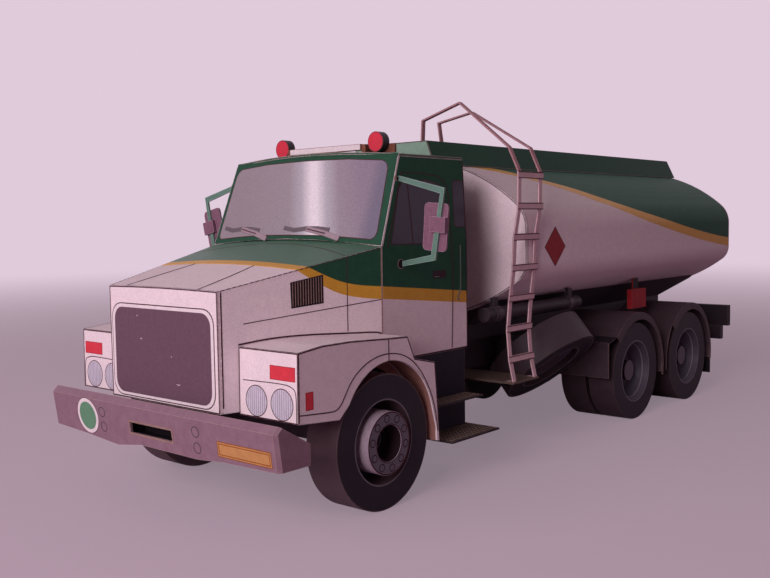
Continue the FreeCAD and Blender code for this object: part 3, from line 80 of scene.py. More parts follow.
# Backdrop paper, matt, its fibres 0.4 mm long; it turns to the backdrop's own colour away from the truck.
backdrop_colour = hex_colour("#e0cbdb")
fibres_per_metre, fibre_height = 2500.0, 0.00003
material, tree = new_material("backdrop_paper")
coordinates = add_node(tree, "ShaderNodeTexCoord")
distance = add_node(tree, "ShaderNodeVectorMath", {"operation": "LENGTH"}, {0: coordinates.outputs["Object"]})
fade = add_node(tree, "ShaderNodeMapRange", {"interpolation_type": "SMOOTHSTEP"}, {
    "Value": distance.outputs["Value"], "From Min": 0.12, "From Max": 0.75, "To Min": 0.3, "To Max": 1.0})
tooth = add_node(tree, "ShaderNodeTexNoise", None, {
    "Vector": coordinates.outputs["Object"], "Scale": fibres_per_metre})
bump = add_node(tree, "ShaderNodeBump", None, {
    "Height": tooth.outputs["Fac"], "Strength": 0.1, "Distance": fibre_height})
sheet = add_node(tree, "ShaderNodeBsdfPrincipled", None, {
    "Base Color": hex_colour("#cdb2c4"), "Roughness": 1.0, "Specular IOR Level": 0.1,
    "Normal": bump.outputs["Normal"]})
glow = add_node(tree, "ShaderNodeEmission", None, {"Color": backdrop_colour, "Strength": 1.0})
seen = add_node(tree, "ShaderNodeLightPath")
seen_far = add_node(tree, "ShaderNodeMath", {"operation": "MULTIPLY"},
                    {0: seen.outputs["Is Camera Ray"], 1: fade.outputs["Result"]})
blend = add_node(tree, "ShaderNodeMixShader", None, {
    0: seen_far.outputs["Value"], 1: sheet.outputs["BSDF"], 2: glow.outputs["Emission"]})
add_node(tree, "ShaderNodeOutputMaterial", None, {"Surface": blend.outputs["Shader"]})
floor_data.materials.append(material)

# The room's faint pink light; the camera, mirrors and glass see the backdrop instead.
world = bpy.data.worlds.new("studio")
bpy.context.scene.world = world
world.use_nodes = True
tree = world.node_tree
tree.nodes.clear()
room = add_node(tree, "ShaderNodeBackground", None, {"Color": hex_colour("#ffc4d0"), "Strength": 0.075})
wall = add_node(tree, "ShaderNodeBackground", None, {"Color": backdrop_colour, "Strength": 1.0})
seen = add_node(tree, "ShaderNodeLightPath")
seen_direct = add_node(tree, "ShaderNodeMath", {"operation": "MAXIMUM"},
                       {0: seen.outputs["Is Camera Ray"], 1: seen.outputs["Is Transmission Ray"]})
seen_glossy = add_node(tree, "ShaderNodeMath", {"operation": "MAXIMUM"},
                       {0: seen_direct.outputs["Value"], 1: seen.outputs["Is Glossy Ray"]})
choice = add_node(tree, "ShaderNodeMixShader", None, {
    0: seen_glossy.outputs["Value"], 1: room.outputs["Background"], 2: wall.outputs["Background"]})
add_node(tree, "ShaderNodeOutputWorld", None, {"Surface": choice.outputs["Shader"]})

# Soft lamps with a faint pink tone, all turned to the middle of the truck.
lamp_aim = Vector((0.0, 0.0, 0.03))
for name, place, size, power in (("main_lamp", (0.62, -0.26, 0.36), 0.4, 1.0),
                                 ("front_lamp", (0.55, 0.115, 0.2), 0.26, 1.75),
                                 ("top_lamp", (-0.1, 0.1, 0.75), 0.7, 0.25)):
    lamp = bpy.data.lights.new(name, "AREA")
    lamp.shape = "SQUARE"
    lamp.size = size
    lamp.energy = power
    lamp.color = (1.0, 0.88, 0.93)
    lamp_object = bpy.data.objects.new(name, lamp)
    bpy.context.scene.collection.objects.link(lamp_object)
    lamp_object.location = place
    lamp_object.rotation_euler = (lamp_aim - Vector(place)).to_track_quat("-Z", "Y").to_euler()

# The camera stands low ahead of the truck's left corner and is turned by its heading, its dip and a slight tilt.
camera_place = (0.15904, 0.11366, 0.04285)
camera = bpy.data.cameras.new("camera")
camera.lens = 44.03
camera.clip_start = 0.005
camera_object = bpy.data.objects.new("camera", camera)
bpy.context.scene.collection.objects.link(camera_object)
yaw, pitch, roll = math.radians(-139.365), math.radians(-4.198), -0.015
ahead = Vector((math.cos(pitch) * math.cos(yaw), math.cos(pitch) * math.sin(yaw), math.sin(pitch)))
aside = Vector((math.sin(yaw), -math.cos(yaw), 0.0))
above = aside.cross(ahead)
right = aside * math.cos(roll) + above * math.sin(roll)
top = above * math.cos(roll) - aside * math.sin(roll)
camera_object.matrix_world = Matrix.Translation(camera_place) @ Matrix(
    (right, top, -ahead)).transposed().to_4x4()
bpy.context.scene.camera = camera_object
bpy.context.scene.view_settings.view_transform = "Standard"

# Frame, axles and bearer
# Strips of card folded into box sections, printed dark plum and glued along the underside, hardly seen below
# the tank.
dots_per_metre = 8300.0


def printed_card(name, colour, roughness=0.55, gloss=0.12, second=None, patch_size=1.2, edge=None, edge_width=0.12):
    """Card with one ink. Its fibres are 0.4 mm long, the ink lies a little unevenly, and its printed dots are drawn
    0.12 mm wide to show. With edge, folds and cut edges show that colour over a width in millimetres, broken by
    wear, and on the roof that colour is a painted sheen; patch_size is in millimetres too."""
    material, tree = new_material(name)
    coordinates = add_node(tree, "ShaderNodeTexCoord")
    patches = add_node(tree, "ShaderNodeTexNoise", None, {
        "Vector": coordinates.outputs["Object"], "Scale": 1000.0 / patch_size, "Detail": 4.0, "Roughness": 0.6})
    fibres = add_node(tree, "ShaderNodeTexNoise", None, {
        "Vector": coordinates.outputs["Object"], "Scale": fibres_per_metre, "Detail": 3.0, "Roughness": 0.65})
    dots = add_node(tree, "ShaderNodeTexNoise", None, {
        "Vector": coordinates.outputs["Object"], "Scale": dots_per_metre, "Detail": 1.0})
    spread = add_node(tree, "ShaderNodeMapRange", None, {
        "Value": patches.outputs["Fac"], "From Min": 0.3, "From Max": 0.7, "To Min": 0.0, "To Max": 1.0})
    base = hex_colour(colour)
    other = hex_colour(second) if second else tuple(c * 0.86 for c in base[:3]) + (1.0,)
    tone = add_node(tree, "ShaderNodeMix", {"data_type": "RGBA"}, {
        0: spread.outputs["Result"], 6: base, 7: other})
    speckle = add_node(tree, "ShaderNodeMapRange", None, {
        "Value": dots.outputs["Fac"], "From Min": 0.35, "From Max": 0.65, "To Min": 0.9, "To Max": 1.1})
    shade = add_node(tree, "ShaderNodeVectorMath", {"operation": "SCALE"}, {
        0: tone.outputs[2], "Scale": speckle.outputs["Result"]})
    surface_colour = shade.outputs["Vector"]
    if edge:
        # The softened normal leaves the flat one only along folds and cut edges.
        softened = add_node(tree, "ShaderNodeBevel", {"samples": 4}, {"Radius": edge_width / 1000})
        flat = add_node(tree, "ShaderNodeNewGeometry")
        agreement = add_node(tree, "ShaderNodeVectorMath", {"operation": "DOT_PRODUCT"}, {
            0: softened.outputs["Normal"], 1: flat.outputs["Normal"]})
        fold = add_node(tree, "ShaderNodeMapRange", None, {
            "Value": agreement.outputs["Value"], "From Min": 0.985, "From Max": 0.93, "To Min": 0.0, "To Max": 1.0})
        # Noise breaks the edge colour up: rubbed wear on most cards, and on the roof a broken painted sheen.
        rubbed = add_node(tree, "ShaderNodeMapRange", None, {
            "Value": fibres.outputs["Fac"], "From Min": 0.32, "From Max": 0.5, "To Min": 0.25, "To Max": 1.0})
        edge_wear_and_sheen = add_node(tree, "ShaderNodeMath", {"operation": "MULTIPLY"}, {
            0: fold.outputs["Result"], 1: rubbed.outputs["Result"]})
        surface_colour = add_node(tree, "ShaderNodeMix", {"data_type": "RGBA"}, {
            0: edge_wear_and_sheen.outputs["Value"], 6: surface_colour, 7: hex_colour(edge)}).outputs[2]
    bump = add_node(tree, "ShaderNodeBump", None, {
        "Height": fibres.outputs["Fac"], "Strength": 0.25, "Distance": fibre_height})
    surface = add_node(tree, "ShaderNodeBsdfPrincipled", None, {
        "Base Color": surface_colour, "Roughness": roughness, "Specular IOR Level": gloss,
        "Normal": bump.outputs["Normal"]})
    add_node(tree, "ShaderNodeOutputMaterial", None, {"Surface": surface.outputs["BSDF"]})
    return material


def cover(material, *names):
    """Finish whole pieces of card in one material."""
    for name in names:
        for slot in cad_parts[name].material_slots:
            slot.material = material


# Dark plum print, matt, with a slightly cloudy tone and bare brown edges.
plum_print = printed_card("dark_plum_print", "#3d343b", 0.55, 0.2, edge="#6f5d5a")
cover(plum_print, "frame", "front_axle", "rear_axle_1", "rear_axle_2", "tank_bearer", "spare_carrier", "cab_floor")

# Front bumper
# One strip of grey-printed card, folded at its corners and along its bevel, with a cut slot in the middle and
# a black tray glued behind it, which is painted shade for the slot's depth. A plain round badge, a plain plate and
# the towing rings are printed on it.
mm = 0.001
front_axle_x = 55.6
bumper_front, bumper_fold = 24.4, 16.1
badge = (-15.65, 13.27)
ink_depth, ink_layer = 0.03, 0.02


def face_outward(mesh):
    """Turn all faces of evenly wound shells round if they look inward."""
    if mesh.calc_volume(signed=True) < 0:
        bmesh.ops.reverse_faces(mesh, faces=mesh.faces[:])


def join_patch(sheet, patch):
    """Add a finished patch to its sheet."""
    held = bpy.data.meshes.new("patch")
    patch.to_mesh(held)
    patch.free()
    sheet.from_mesh(held)
    bpy.data.meshes.remove(held)


def raise_ink(sheet, patch, layer):
    """Give a flat patch the thickness of its layer of ink and add it to its sheet."""
    raised = bmesh.ops.extrude_face_region(patch, geom=patch.faces[:])
    lifted = [item for item in raised["geom"] if isinstance(item, bmesh.types.BMVert)]
    bmesh.ops.translate(patch, verts=lifted, vec=(0, 0, ink_depth + ink_layer * layer))
    bmesh.ops.recalc_face_normals(patch, faces=patch.faces[:])
    face_outward(patch)
    join_patch(sheet, patch)


def lay(sheet, corners, ink, layer=1, rounding=0.0, rim=0.0, rim_ink=0):
    """Lay one closed outline of ink, its corners in millimetres across and up the sheet. An ink is its number in
    the list that fasten gets."""
    patch = bmesh.new()
    patch.faces.new([patch.verts.new((across, up, -ink_depth)) for across, up in corners])
    if rounding:
        bmesh.ops.bevel(patch, geom=patch.verts[:], offset=rounding, offset_type="OFFSET", segments=5,
                        profile=0.5, affect="VERTICES", material=-1)
    for face in patch.faces:
        face.material_index = ink
    if rim:
        patch.normal_update()
        edge = bmesh.ops.inset_region(patch, faces=patch.faces[:], thickness=rim, use_even_offset=True,
                                      use_boundary=True)
        for face in edge["faces"]:
            face.material_index = rim_ink
    raise_ink(sheet, patch, layer)


def draw_line(sheet, points, width, ink, layer=2, closed=False):
    """Draw a line of ink of even width through points, mitred at its bends."""
    count = len(points)
    sides = []
    for number, (across, up) in enumerate(points):
        here = Vector((across, up))
        before = here - Vector(points[number - 1]) if number or closed else None
        after = Vector(points[(number + 1) % count]) - here if number < count - 1 or closed else None
        runs = [run.normalized() for run in (before, after) if run is not None]
        normals = [Vector((-run.y, run.x)) for run in runs]
        mitre = sum(normals, Vector((0, 0))).normalized()
        reach = width / 2 / max(mitre.dot(normals[0]), 0.5)
        sides.append((here + mitre * reach, here - mitre * reach))
    patch = bmesh.new()
    rows = [[patch.verts.new((*point, -ink_depth)) for point in side] for side in sides]
    for number in range(count if closed else count - 1):
        start, end = rows[number], rows[(number + 1) % count]
        face = patch.faces.new((start[0], start[1], end[1], end[0]))
        face.material_index = ink
    raise_ink(sheet, patch, layer)


def round_points(across, up, radius, count=40, start=0.0, end=360.0):
    """Points round a circle, or along a part of it."""
    steps = count if end - start >= 360 else count + 1
    return [(across + radius * math.cos(math.radians(start + (end - start) * step / count)),
             up + radius * math.sin(math.radians(start + (end - start) * step / count))) for step in range(steps)]


def draw_ring(sheet, radius, width, ink, layer, count, centre=(0, 0)):
    """Draw a ring of ink of even width."""
    draw_line(sheet, round_points(*centre, radius, count), width, ink, layer, closed=True)


def square_points(left, low, right, high):
    """The corners of a rectangle."""
    return [(left, low), (right, low), (right, high), (left, high)]


def smooth(points, rounds=2):
    """Round the bends of a line by cutting its corners; its ends stay."""
    for turn in range(rounds):
        cut_points = [points[0]]
        for (left, low), (right, high) in zip(points, points[1:]):
            cut_points += [(left * 0.75 + right * 0.25, low * 0.75 + high * 0.25),
                           (left * 0.25 + right * 0.75, low * 0.25 + high * 0.75)]
        points = cut_points + [points[-1]]
    return points


def make_piece(mesh, name, finishes, body="chassis"):
    """Make a finished mesh a piece that rides on its body."""
    data = bpy.data.meshes.new(name)
    mesh.to_mesh(data)
    mesh.free()
    for finish in finishes:
        data.materials.append(finish)
    piece = bpy.data.objects.new(name, data)
    bpy.context.scene.collection.objects.link(piece)
    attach(piece, body)
    return piece


def fasten(sheet, name, place, inks, slot, body="chassis", across_cuts=(), up_cuts=()):
    """Bend a sheet of ink onto its card with place, which gives part millimetres, and fix it to its body."""
    for cuts, normal in ((across_cuts, (1, 0, 0)), (up_cuts, (0, 1, 0))):
        for level in cuts:
            geometry = sheet.verts[:] + sheet.edges[:] + sheet.faces[:]
            bmesh.ops.bisect_plane(sheet, geom=geometry, dist=1e-6, plane_co=Vector(normal) * level,
                                   plane_no=normal)
    for vertex in sheet.verts:
        vertex.co = Vector(place(*vertex.co)) * mm
    face_outward(sheet)
    return make_piece(sheet, name, inks, body)


def fasten_pair(sheet, name, place, inks, slot, body="chassis", **cuts):
    """Fix a sheet on the left and its mirror image on the right; {side} in a name takes the side."""
    fasten(sheet.copy(), name.format(side="left"), place, inks, slot, body.format(side="left"), **cuts)
    fasten(sheet, name.format(side="right"), lambda *point: (place(*point)[0], -place(*point)[1], place(*point)[2]),
           inks, slot, body.format(side="right"), **cuts)


# White ink over a dark print, matt and faintly pink.
white_ink = printed_card("white_ink", "#f3e6ea", 0.5, 0.25, "#ecdce3")
# Warm grey print, matt and a little blotchy, with pale brown edges.
bumper_print = printed_card("bumper_grey_print", "#957684", 0.5, 0.2, "#896a78", 1.6, "#c0a49d")
# Lines of the printer's ink, all matt: dark brown for outlines and grey for faint ones. Near black is print on the
# vent and the flaps, and painted shade in openings and shaded gaps.
line_ink = printed_card("dark_line_ink", "#4a2a31", 0.6)
faint_ink = printed_card("faint_line_ink", "#514450", 0.5)
black_ink_and_painted_shade = printed_card("black_ink_and_painted_shade", "#1c161b", 0.55, 0.15)
# Bare brownish cut edge of the card, rough and fibrous.
cut_card = printed_card("bare_cut_card", "#a98a80", 0.7, 0.3, "#8f7069", 0.4)
# Pale green print of the badge's middle, matt.
badge_green = printed_card("badge_green_ink", "#6c9a7c", 0.45)
# Dull orange-yellow print of the plates, and the brown-orange ink round them, both matt.
plate_yellow = printed_card("plate_yellow_print", "#cf9660", 0.5)
orange_ink = printed_card("orange_line_ink", "#9c5a2c", 0.45)
# The strip is the solid's own skin, with the tops of its folded-back ends cut to fall to the rear.
end_top, end_slope = Vector((front_axle_x + 23.45, 0.0, 17.0)) * mm, Vector((-3.1, 0.0, 5.25)).normalized()
bumper_strip = bmesh.new()
bumper_strip.from_mesh(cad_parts["front_bumper"].data)
bmesh.ops.remove_doubles(bumper_strip, verts=bumper_strip.verts[:], dist=1e-6)
cut = bmesh.ops.bisect_plane(bumper_strip, geom=bumper_strip.verts[:] + bumper_strip.edges[:] + bumper_strip.faces[:],
                             dist=1e-7, plane_co=end_top, plane_no=end_slope, clear_outer=True)
bmesh.ops.holes_fill(bumper_strip, edges=[item for item in cut["geom_cut"] if isinstance(item, bmesh.types.BMEdge)],
                     sides=0)
bmesh.ops.recalc_face_normals(bumper_strip, faces=bumper_strip.faces[:])
face_outward(bumper_strip)
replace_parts(make_piece(bumper_strip, "bumper_strip", [bumper_print]), "front_bumper")


def bumper_face(across, up, lift):
    """The bumper's face, which leans back below its fold by 0.9 mm in 6.5."""
    return (front_axle_x + bumper_front - (bumper_fold - up) * 0.9 / 6.5 + lift, across, up)


sheet = bmesh.new()
lay(sheet, round_points(*badge, 2.8, 56), 1, 1)
draw_ring(sheet, 2.84, 0.1, 4, 1, 56, badge)
lay(sheet, round_points(*badge, 2.2, 56), 0, 2)
lay(sheet, square_points(15.4, 11.5, 26.1, 13.7), 2, 1, rim=0.12, rim_ink=3)
draw_line(sheet, square_points(15.75, 11.85, 25.75, 13.35), 0.12, 3, 2, closed=True)
for across in (11.0, -11.6):
    for up in (12.0, 14.3):
        draw_ring(sheet, 0.75, 0.12, 5, 1, 24, (across, up))
draw_line(sheet, square_points(-4.72, 11.93, 5.62, 13.87), 0.24, 6, 2, closed=True)
fasten(sheet, "bumper_print", bumper_face,
       [badge_green, white_ink, plate_yellow, orange_ink, line_ink, faint_ink, cut_card], "grey_print")
# The tray behind the slot is a box open to the front, all black as painted shade.
tray_size, tray_middle = (11.4, 2.9, 2.6), (0.45, 12.9, -1.75)
sheet = bmesh.new()
bmesh.ops.create_cube(sheet, size=1.0)
open_end = [face for face in sheet.faces if face.normal.z > 0.5]
bmesh.ops.delete(sheet, geom=open_end, context="FACES_ONLY")
bmesh.ops.scale(sheet, verts=sheet.verts[:], vec=tray_size)
bmesh.ops.translate(sheet, verts=sheet.verts[:], vec=tray_middle)
bmesh.ops.recalc_face_normals(sheet, faces=sheet.faces[:])
bmesh.ops.solidify(sheet, geom=sheet.faces[:], thickness=0.25)
bmesh.ops.recalc_face_normals(sheet, faces=sheet.faces[:])
fasten(sheet, "bumper_slot_shade_tray", bumper_face, [black_ink_and_painted_shade], "dark_print")

# Grille
# The bonnet's front plate: white card with one dark rounded panel and a thin line round it. The panel's print
# is chipped in a few places, down to the white card.
bonnet_front = 21.2


def facing_ahead(level):
    """A print's place on an upright face that looks ahead, its level measured from the front axle."""
    return lambda across, up, lift: (front_axle_x + level + lift, across, up)


# Bare white card with a faint pink tone, matt and fibrous; its folds and cuts carry the printer's dark outline.
white_card = printed_card("white_card", "#f5e4e9", 0.7, 0.1, "#efdde4", edge="#3f2a30", edge_width=0.2)
cover(white_card, "grille_panel", "bonnet")
# Grey-plum print of the grille, with a fine even mottle.
grille_print = printed_card("grille_plum_print", "#6e5261", 0.42, 0.3, "#654a59", 0.5)
sheet = bmesh.new()
lay(sheet, square_points(-12.35, 16.75, 12.05, 30.95), 1, 1, rounding=2.3)
lay(sheet, square_points(-12.19, 16.91, 11.89, 30.79), 2, 2, rounding=2.17)
lay(sheet, square_points(-11.6, 17.3, 11.3, 30.3), 0, 3, rounding=1.9)
# Four chips in the print.
for across, up, length, rise in ((-5.9, 29.1, 0.22, 0.08), (-5.2, 25.7, 0.5, 0.12), (2.2, 23.6, 0.2, -0.08),
                                 (3.4, 19.7, 0.8, -0.12)):
    draw_line(sheet, [(across, up), (across + length * 0.5, up + rise), (across + length, up)], 0.07, 2, 4)
draw_line(sheet, [(-12.72, 16.53), (12.72, 16.53), (12.72, 33.3), (6.4, 33.42), (0.0, 33.46), (-6.4, 33.42),
                  (-12.72, 33.3)], 0.16, 1, 1, closed=True)
fasten(sheet, "grille_print", facing_ahead(bonnet_front), [grille_print, line_ink, white_ink], "white_print")

# Bonnet
# One sheet of printed card folded along its upper edges: white ahead, green behind a yellow stripe that runs
# across the top and down the sides to the cab. Vent, shut lines and folds are printed.
bonnet_length, bonnet_rise = 26.4, 0.2008


def bonnet_half(along):
    """Half of the bonnet's width at a distance ahead of the front axle."""
    return 12.85 + (bonnet_front - along) * 7.0 / bonnet_length


def bonnet_side(across, up, lift):
    """The bonnet's left side, its X measured from the front axle."""
    return (front_axle_x + across + 0.2563 * lift, bonnet_half(across) + 0.9666 * lift, up)


def bonnet_top(across, up, lift):
    """The bonnet's crowned top, across the truck as a share of its half width times 20."""
    share = across / 20
    run = (bonnet_front - up) / bonnet_length
    height = 33.45 + 5.3 * run + (0.15 + 0.95 * run) * (1 - share**2)
    return (front_axle_x + up + 0.2 * lift, share * bonnet_half(up), height + 0.98 * lift)


# Deep green print, matt and even. On the bonnet's top a paler green is a painted sheen where light skims over it,
# with a little real gloss.
green_ink = printed_card("green_ink", "#2a5340", 0.55, 0.08, "#264b3a")
painted_sheen_green = printed_card("painted_sheen_green", "#48705b", 0.45, 0.3, "#426853")
# Golden yellow print of the stripes, a little smoother than bare card.
yellow_print = printed_card("golden_yellow_print", "#d9a23c", 0.42, 0.25, "#d29a36")
stripe_upper = smooth([(7.3, 36.2), (5.34, 35.27), (3.12, 34.23), (0.84, 33.5), (-2.08, 33.0), (-5.15, 32.74)])
stripe_lower = smooth([(9.15, 35.83), (7.9, 35.05), (6.4, 34.2), (4.83, 33.3), (3.15, 32.42), (0.87, 31.65),
                       (-2.05, 31.12), (-5.15, 30.78)])
sheet = bmesh.new()
lay(sheet, stripe_upper + [(-5.15, 38.68)], 0, 1)
lay(sheet, stripe_upper[::-1] + stripe_lower, 1, 1)
# The vent: a black patch with twelve pale slats.
lay(sheet, [(10.2, 34.1), (4.9, 35.0), (4.9, 30.8), (10.1, 30.35)], 2, 2)
for number in range(12):
    across = 9.85 - number * 0.42
    lift = (10.2 - across) * 0.17
    draw_line(sheet, [(across, 30.55 + lift * 0.5), (across, 33.95 + lift)], 0.09, 4, 3)
# Shut lines, the line over the wing, the ends, and the dashed fold along the top.
wing_line = [(18.3, 25.85), (13.6, 26.35), (8.1, 26.4), (0.2, 26.0), (-4.4, 25.8), (-5.1, 25.4)]
draw_line(sheet, [(17.5, 28.7), (-5.1, 30.75)], 0.12, 3, 2)
draw_line(sheet, [(0.9, 37.35), (0.9, 26.3)], 0.12, 3, 2)
draw_line(sheet, smooth(wing_line), 0.24, 3, 2)
draw_line(sheet, [(-5.1, 38.6), (-5.1, 25.3)], 0.14, 4, 3)
draw_line(sheet, [(20.68, 33.3), (20.68, 17.2)], 0.16, 3, 2)
for number in range(30):
    dash = (20.7 - number * 0.86, 20.1 - number * 0.86)
    draw_line(sheet, [(along, 33.36 + (bonnet_front - along) * bonnet_rise) for along in dash], 0.12, 3, 2)
fasten_pair(sheet, "bonnet_side_print_{side}", bonnet_side, [green_ink, yellow_print, black_ink_and_painted_shade, line_ink, cut_card],
            "white_print")
# The bonnet's top, in the paler green of the painted sheen, with its yellow band and lines.
sheet = bmesh.new()
lay(sheet, square_points(-19.9, -5.15, 19.9, 7.35), 0, 2)
lay(sheet, square_points(-19.9, 7.35, 19.9, 9.15), 1, 2)
draw_line(sheet, [(19.7, 0.9), (12.5, -1.0), (4.0, -2.4), (-4.0, -2.4), (-12.5, -1.0), (-19.7, 0.9)], 0.13, 2, 3)
for hand in (1, -1):
    draw_line(sheet, [(hand * 13.2, 21.0), (hand * 8.7, 9.2)], 0.12, 2, 2)
fasten(sheet, "bonnet_top_print", bonnet_top, [painted_sheen_green, yellow_print, line_ink], "white_print",
       across_cuts=[2.5 * step for step in range(-7, 8)], up_cuts=[2.5 * step for step in range(-1, 9)])

# Front wings
# White card boxes glued to the bonnet; lamps, markers and panel lines are printed, and the arch has a
# separate liner of bare brown card that shows behind its white cut edge.
axle_height, lamp_height = 10.16, 18.45


def facing_left(level, along=0.0, height=0.0):
    """A print's place on an upright face that looks left, measured from a point on the front axle's line."""
    return lambda across, up, lift: (front_axle_x + along + across, level + lift, height + up)


cover(white_card, "front_wing_left", "front_wing_right")
# Bright red print of the indicators, and a darker red round it, both a little smoother than card.
red_print = printed_card("signal_red_print", "#e2414f", 0.42, 0.25, "#d93a49")
dark_red_print = printed_card("dark_red_print", "#b32a38", 0.45)
# Pale lilac print of the lamp glasses, a little smoother than card, and the greyer ink of their upright lines.
lamp_print = printed_card("lamp_glass_print", "#ddd3e2", 0.4, 0.25)
lamp_line_ink = printed_card("lamp_line_ink", "#a79fb8", 0.4)
# The front of the wing: indicator, two lamps and the lines round them.
sheet = bmesh.new()
lay(sheet, square_points(19.95, 21.7, 24.85, 23.65), 0, 1, rim=0.1, rim_ink=4)
for across in (17.2, 22.25):
    lay(sheet, round_points(across, lamp_height, 2.2, 40), 1, 1, rim=0.13, rim_ink=2)
    for offset in [0.42 * number for number in range(-4, 5)]:
        reach = math.sqrt(2.0**2 - offset**2)
        draw_line(sheet, [(across + offset, lamp_height - reach), (across + offset, lamp_height + reach)], 0.1, 3, 2)
lamp_frame = [(14.5, 21.1), (22.6, 21.3), (24.2, 21.0), (24.95, 20.5), (25.05, 18.5), (25.05, 16.2)]
draw_line(sheet, smooth(lamp_frame), 0.12, 2, 2)
draw_line(sheet, square_points(13.75, 16.2, 25.29, 25.48), 0.16, 2, 1, closed=True)
fasten_pair(sheet, "wing_front_print_{side}",
            lambda across, up, lift: (front_axle_x + 18.4 - (up - 16.1) * 0.0126 + lift, across, up),
            [red_print, lamp_print, line_ink, lamp_line_ink, dark_red_print], "white_print")
# The side of the wing: marker, arch, panel line and edge.
arch_line = [(18.2, 17.3), (12.45, 16.83), (11.2, 16.85), (10.2, 17.5), (9.3, 18.85), (8.0, 20.6), (6.2, 21.95),
             (4.0, 22.95), (1.5, 23.45), (-1.0, 23.4), (-3.4, 22.85), (-5.6, 21.7), (-7.3, 20.1), (-8.9, 18.0),
             (-10.3, 15.4), (-11.15, 12.6), (-11.5, 10.0)]
sheet = bmesh.new()
lay(sheet, square_points(15.6, 17.75, 17.05, 20.2), 0, 1, rim=0.1, rim_ink=2)
draw_line(sheet, smooth(arch_line), 0.16, 1, 2)
draw_line(sheet, [(0.0, 25.6), (-0.05, 22.35)], 0.16, 1, 2)
draw_line(sheet, [(18.28, 16.2), (18.17, 25.49), (13.6, 25.98), (8.1, 25.98), (0.2, 25.57), (-4.32, 25.38),
                  (-6.0, 21.87), (-10.88, 20.78), (-11.97, 8.5)], 0.16, 1, 1)
fasten_pair(sheet, "wing_side_print_{side}", facing_left(25.4), [red_print, line_ink, dark_red_print], "white_print")
sheet = bmesh.new()
draw_line(sheet, [(18.2, 14.0), (18.2, 25.28), (13.6, 25.28), (8.1, 25.28), (0.2, 25.28), (-4.3, 25.28)], 0.14, 0, 1)


def wing_top(across, up, lift):
    """The wing's folded top, its height along the truck."""
    folds = [(18.3, 25.6), (13.61, 26.1), (8.09, 26.1), (0.19, 25.69), (-4.41, 25.5)]
    for (ahead, high), (behind, low) in zip(folds, folds[1:]):
        if across >= behind:
            break
    return (front_axle_x + across, up, high + (low - high) * (ahead - across) / (ahead - behind) + lift)


fasten_pair(sheet, "wing_top_print_{side}", wing_top, [line_ink], "white_print")
# Bare brown back of the card inside the arch, rough and fibrous.
liner_card = printed_card("brown_liner_card", "#a8786e", 0.7, 0.2, "#9a6c63")
arch = 12.53
liner_path = [(10.6, 15.5), *round_points(-0.0303 * arch, axle_height + 0.162 * arch, 0.856 * arch, 14, 30, 89.85),
              *round_points(0.0271 * arch, axle_height + 0.0997 * arch, 0.92 * arch, 16, 93.43, 166.9)[1:],
              (-11.46, 10.22), (-11.46, 8.45)]
sheet = bmesh.new()
draw_line(sheet, liner_path, 0.05, 0, 1)
fasten_pair(sheet, "wing_liner_{side}",
            lambda across, up, lift: (front_axle_x + across, bonnet_half(across) + 0.1 if lift < 0 else 24.95, up),
            [liner_card], "white_print")
sheet = bmesh.new()
draw_line(sheet, round_points(0, axle_height, 11.7, 30, 25, 160), 1.6, 0, 1)
fasten_pair(sheet, "wing_liner_wall_{side}",
            lambda across, up, lift: (front_axle_x + across, min(bonnet_half(across) + 0.07, 19.92) + lift, up),
            [liner_card], "white_print")

# Cab
# Printed card sides, back, roof and floor glued to a box; windows, doors and handles are printed on them,
# and the windscreen is a bent strip with its own printed glass.
cab_half, window_sill = 19.85, 38.75


def cab_side(across, up, lift):
    """The cab's left side, upright below the windows and leaning in above."""
    return (front_axle_x + across, cab_half - max(0.0, up - window_sill) * 0.05398 + lift, up)


def facing_back(level):
    """A print's place on an upright face that looks back, its level measured from the front axle."""
    return lambda across, up, lift: (front_axle_x + level - lift, across, up)


# Smoky plum print of the side windows, smoother and a little shinier than the rest.
window_print = printed_card("smoky_window_print", "#382f42", 0.32, 0.3, "#30283a", 3.0)
# Dark maroon print of the handle, and the grey-green ink of its gleam and of the pipe behind the door.
handle_print = printed_card("handle_maroon_print", "#38232b", 0.4)
muted_ink = printed_card("muted_grey_ink", "#73857c", 0.45)
cover(white_card, "cab_side_left", "cab_side_right", "windscreen_panel")
# Deep green print, matt, with folds rubbed brown at the back, and a broad pale rim round the roof that is a
# painted sheen where light skims its edges.
green_print = printed_card("deep_green_print", "#2a5340", 0.55, 0.08, "#264b3a", edge="#8c6f6a")
roof_green_with_painted_sheen = printed_card("roof_green_painted_sheen_rim", "#2a5340", 0.55, 0.1, "#264b3a", edge="#c4b1af", edge_width=0.3)
cover(roof_green_with_painted_sheen, "cab_roof")
cover(green_print, "cab_back")
sheet = bmesh.new()
# The green side and its yellow stripe.
lay(sheet, [(-5.35, 32.72), (-5.35, 38.7), (-5.5, 38.8), (-10.72, 52.72), (-27.3, 52.72), (-27.3, 30.6)], 0, 1)
lay(sheet, [(-5.35, 32.72), (-27.3, 30.6), (-27.3, 28.6), (-5.35, 30.8)], 1, 1)
# The door's window with its quarter light, and the window behind the door.
lay(sheet, [(-7.4, 39.0), (-9.95, 47.7), (-10.9, 48.8), (-16.8, 49.25), (-20.4, 48.65), (-21.75, 47.4), (-21.9, 43.0),
            (-21.7, 38.75)], 3, 2, rim=0.16, rim_ink=2)
draw_line(sheet, [(-12.2, 48.7), (-12.9, 39.0)], 0.22, 2, 3)
lay(sheet, square_points(-27.2, 41.4, -24.0, 49.3), 3, 2, rounding=0.7, rim=0.14, rim_ink=2)
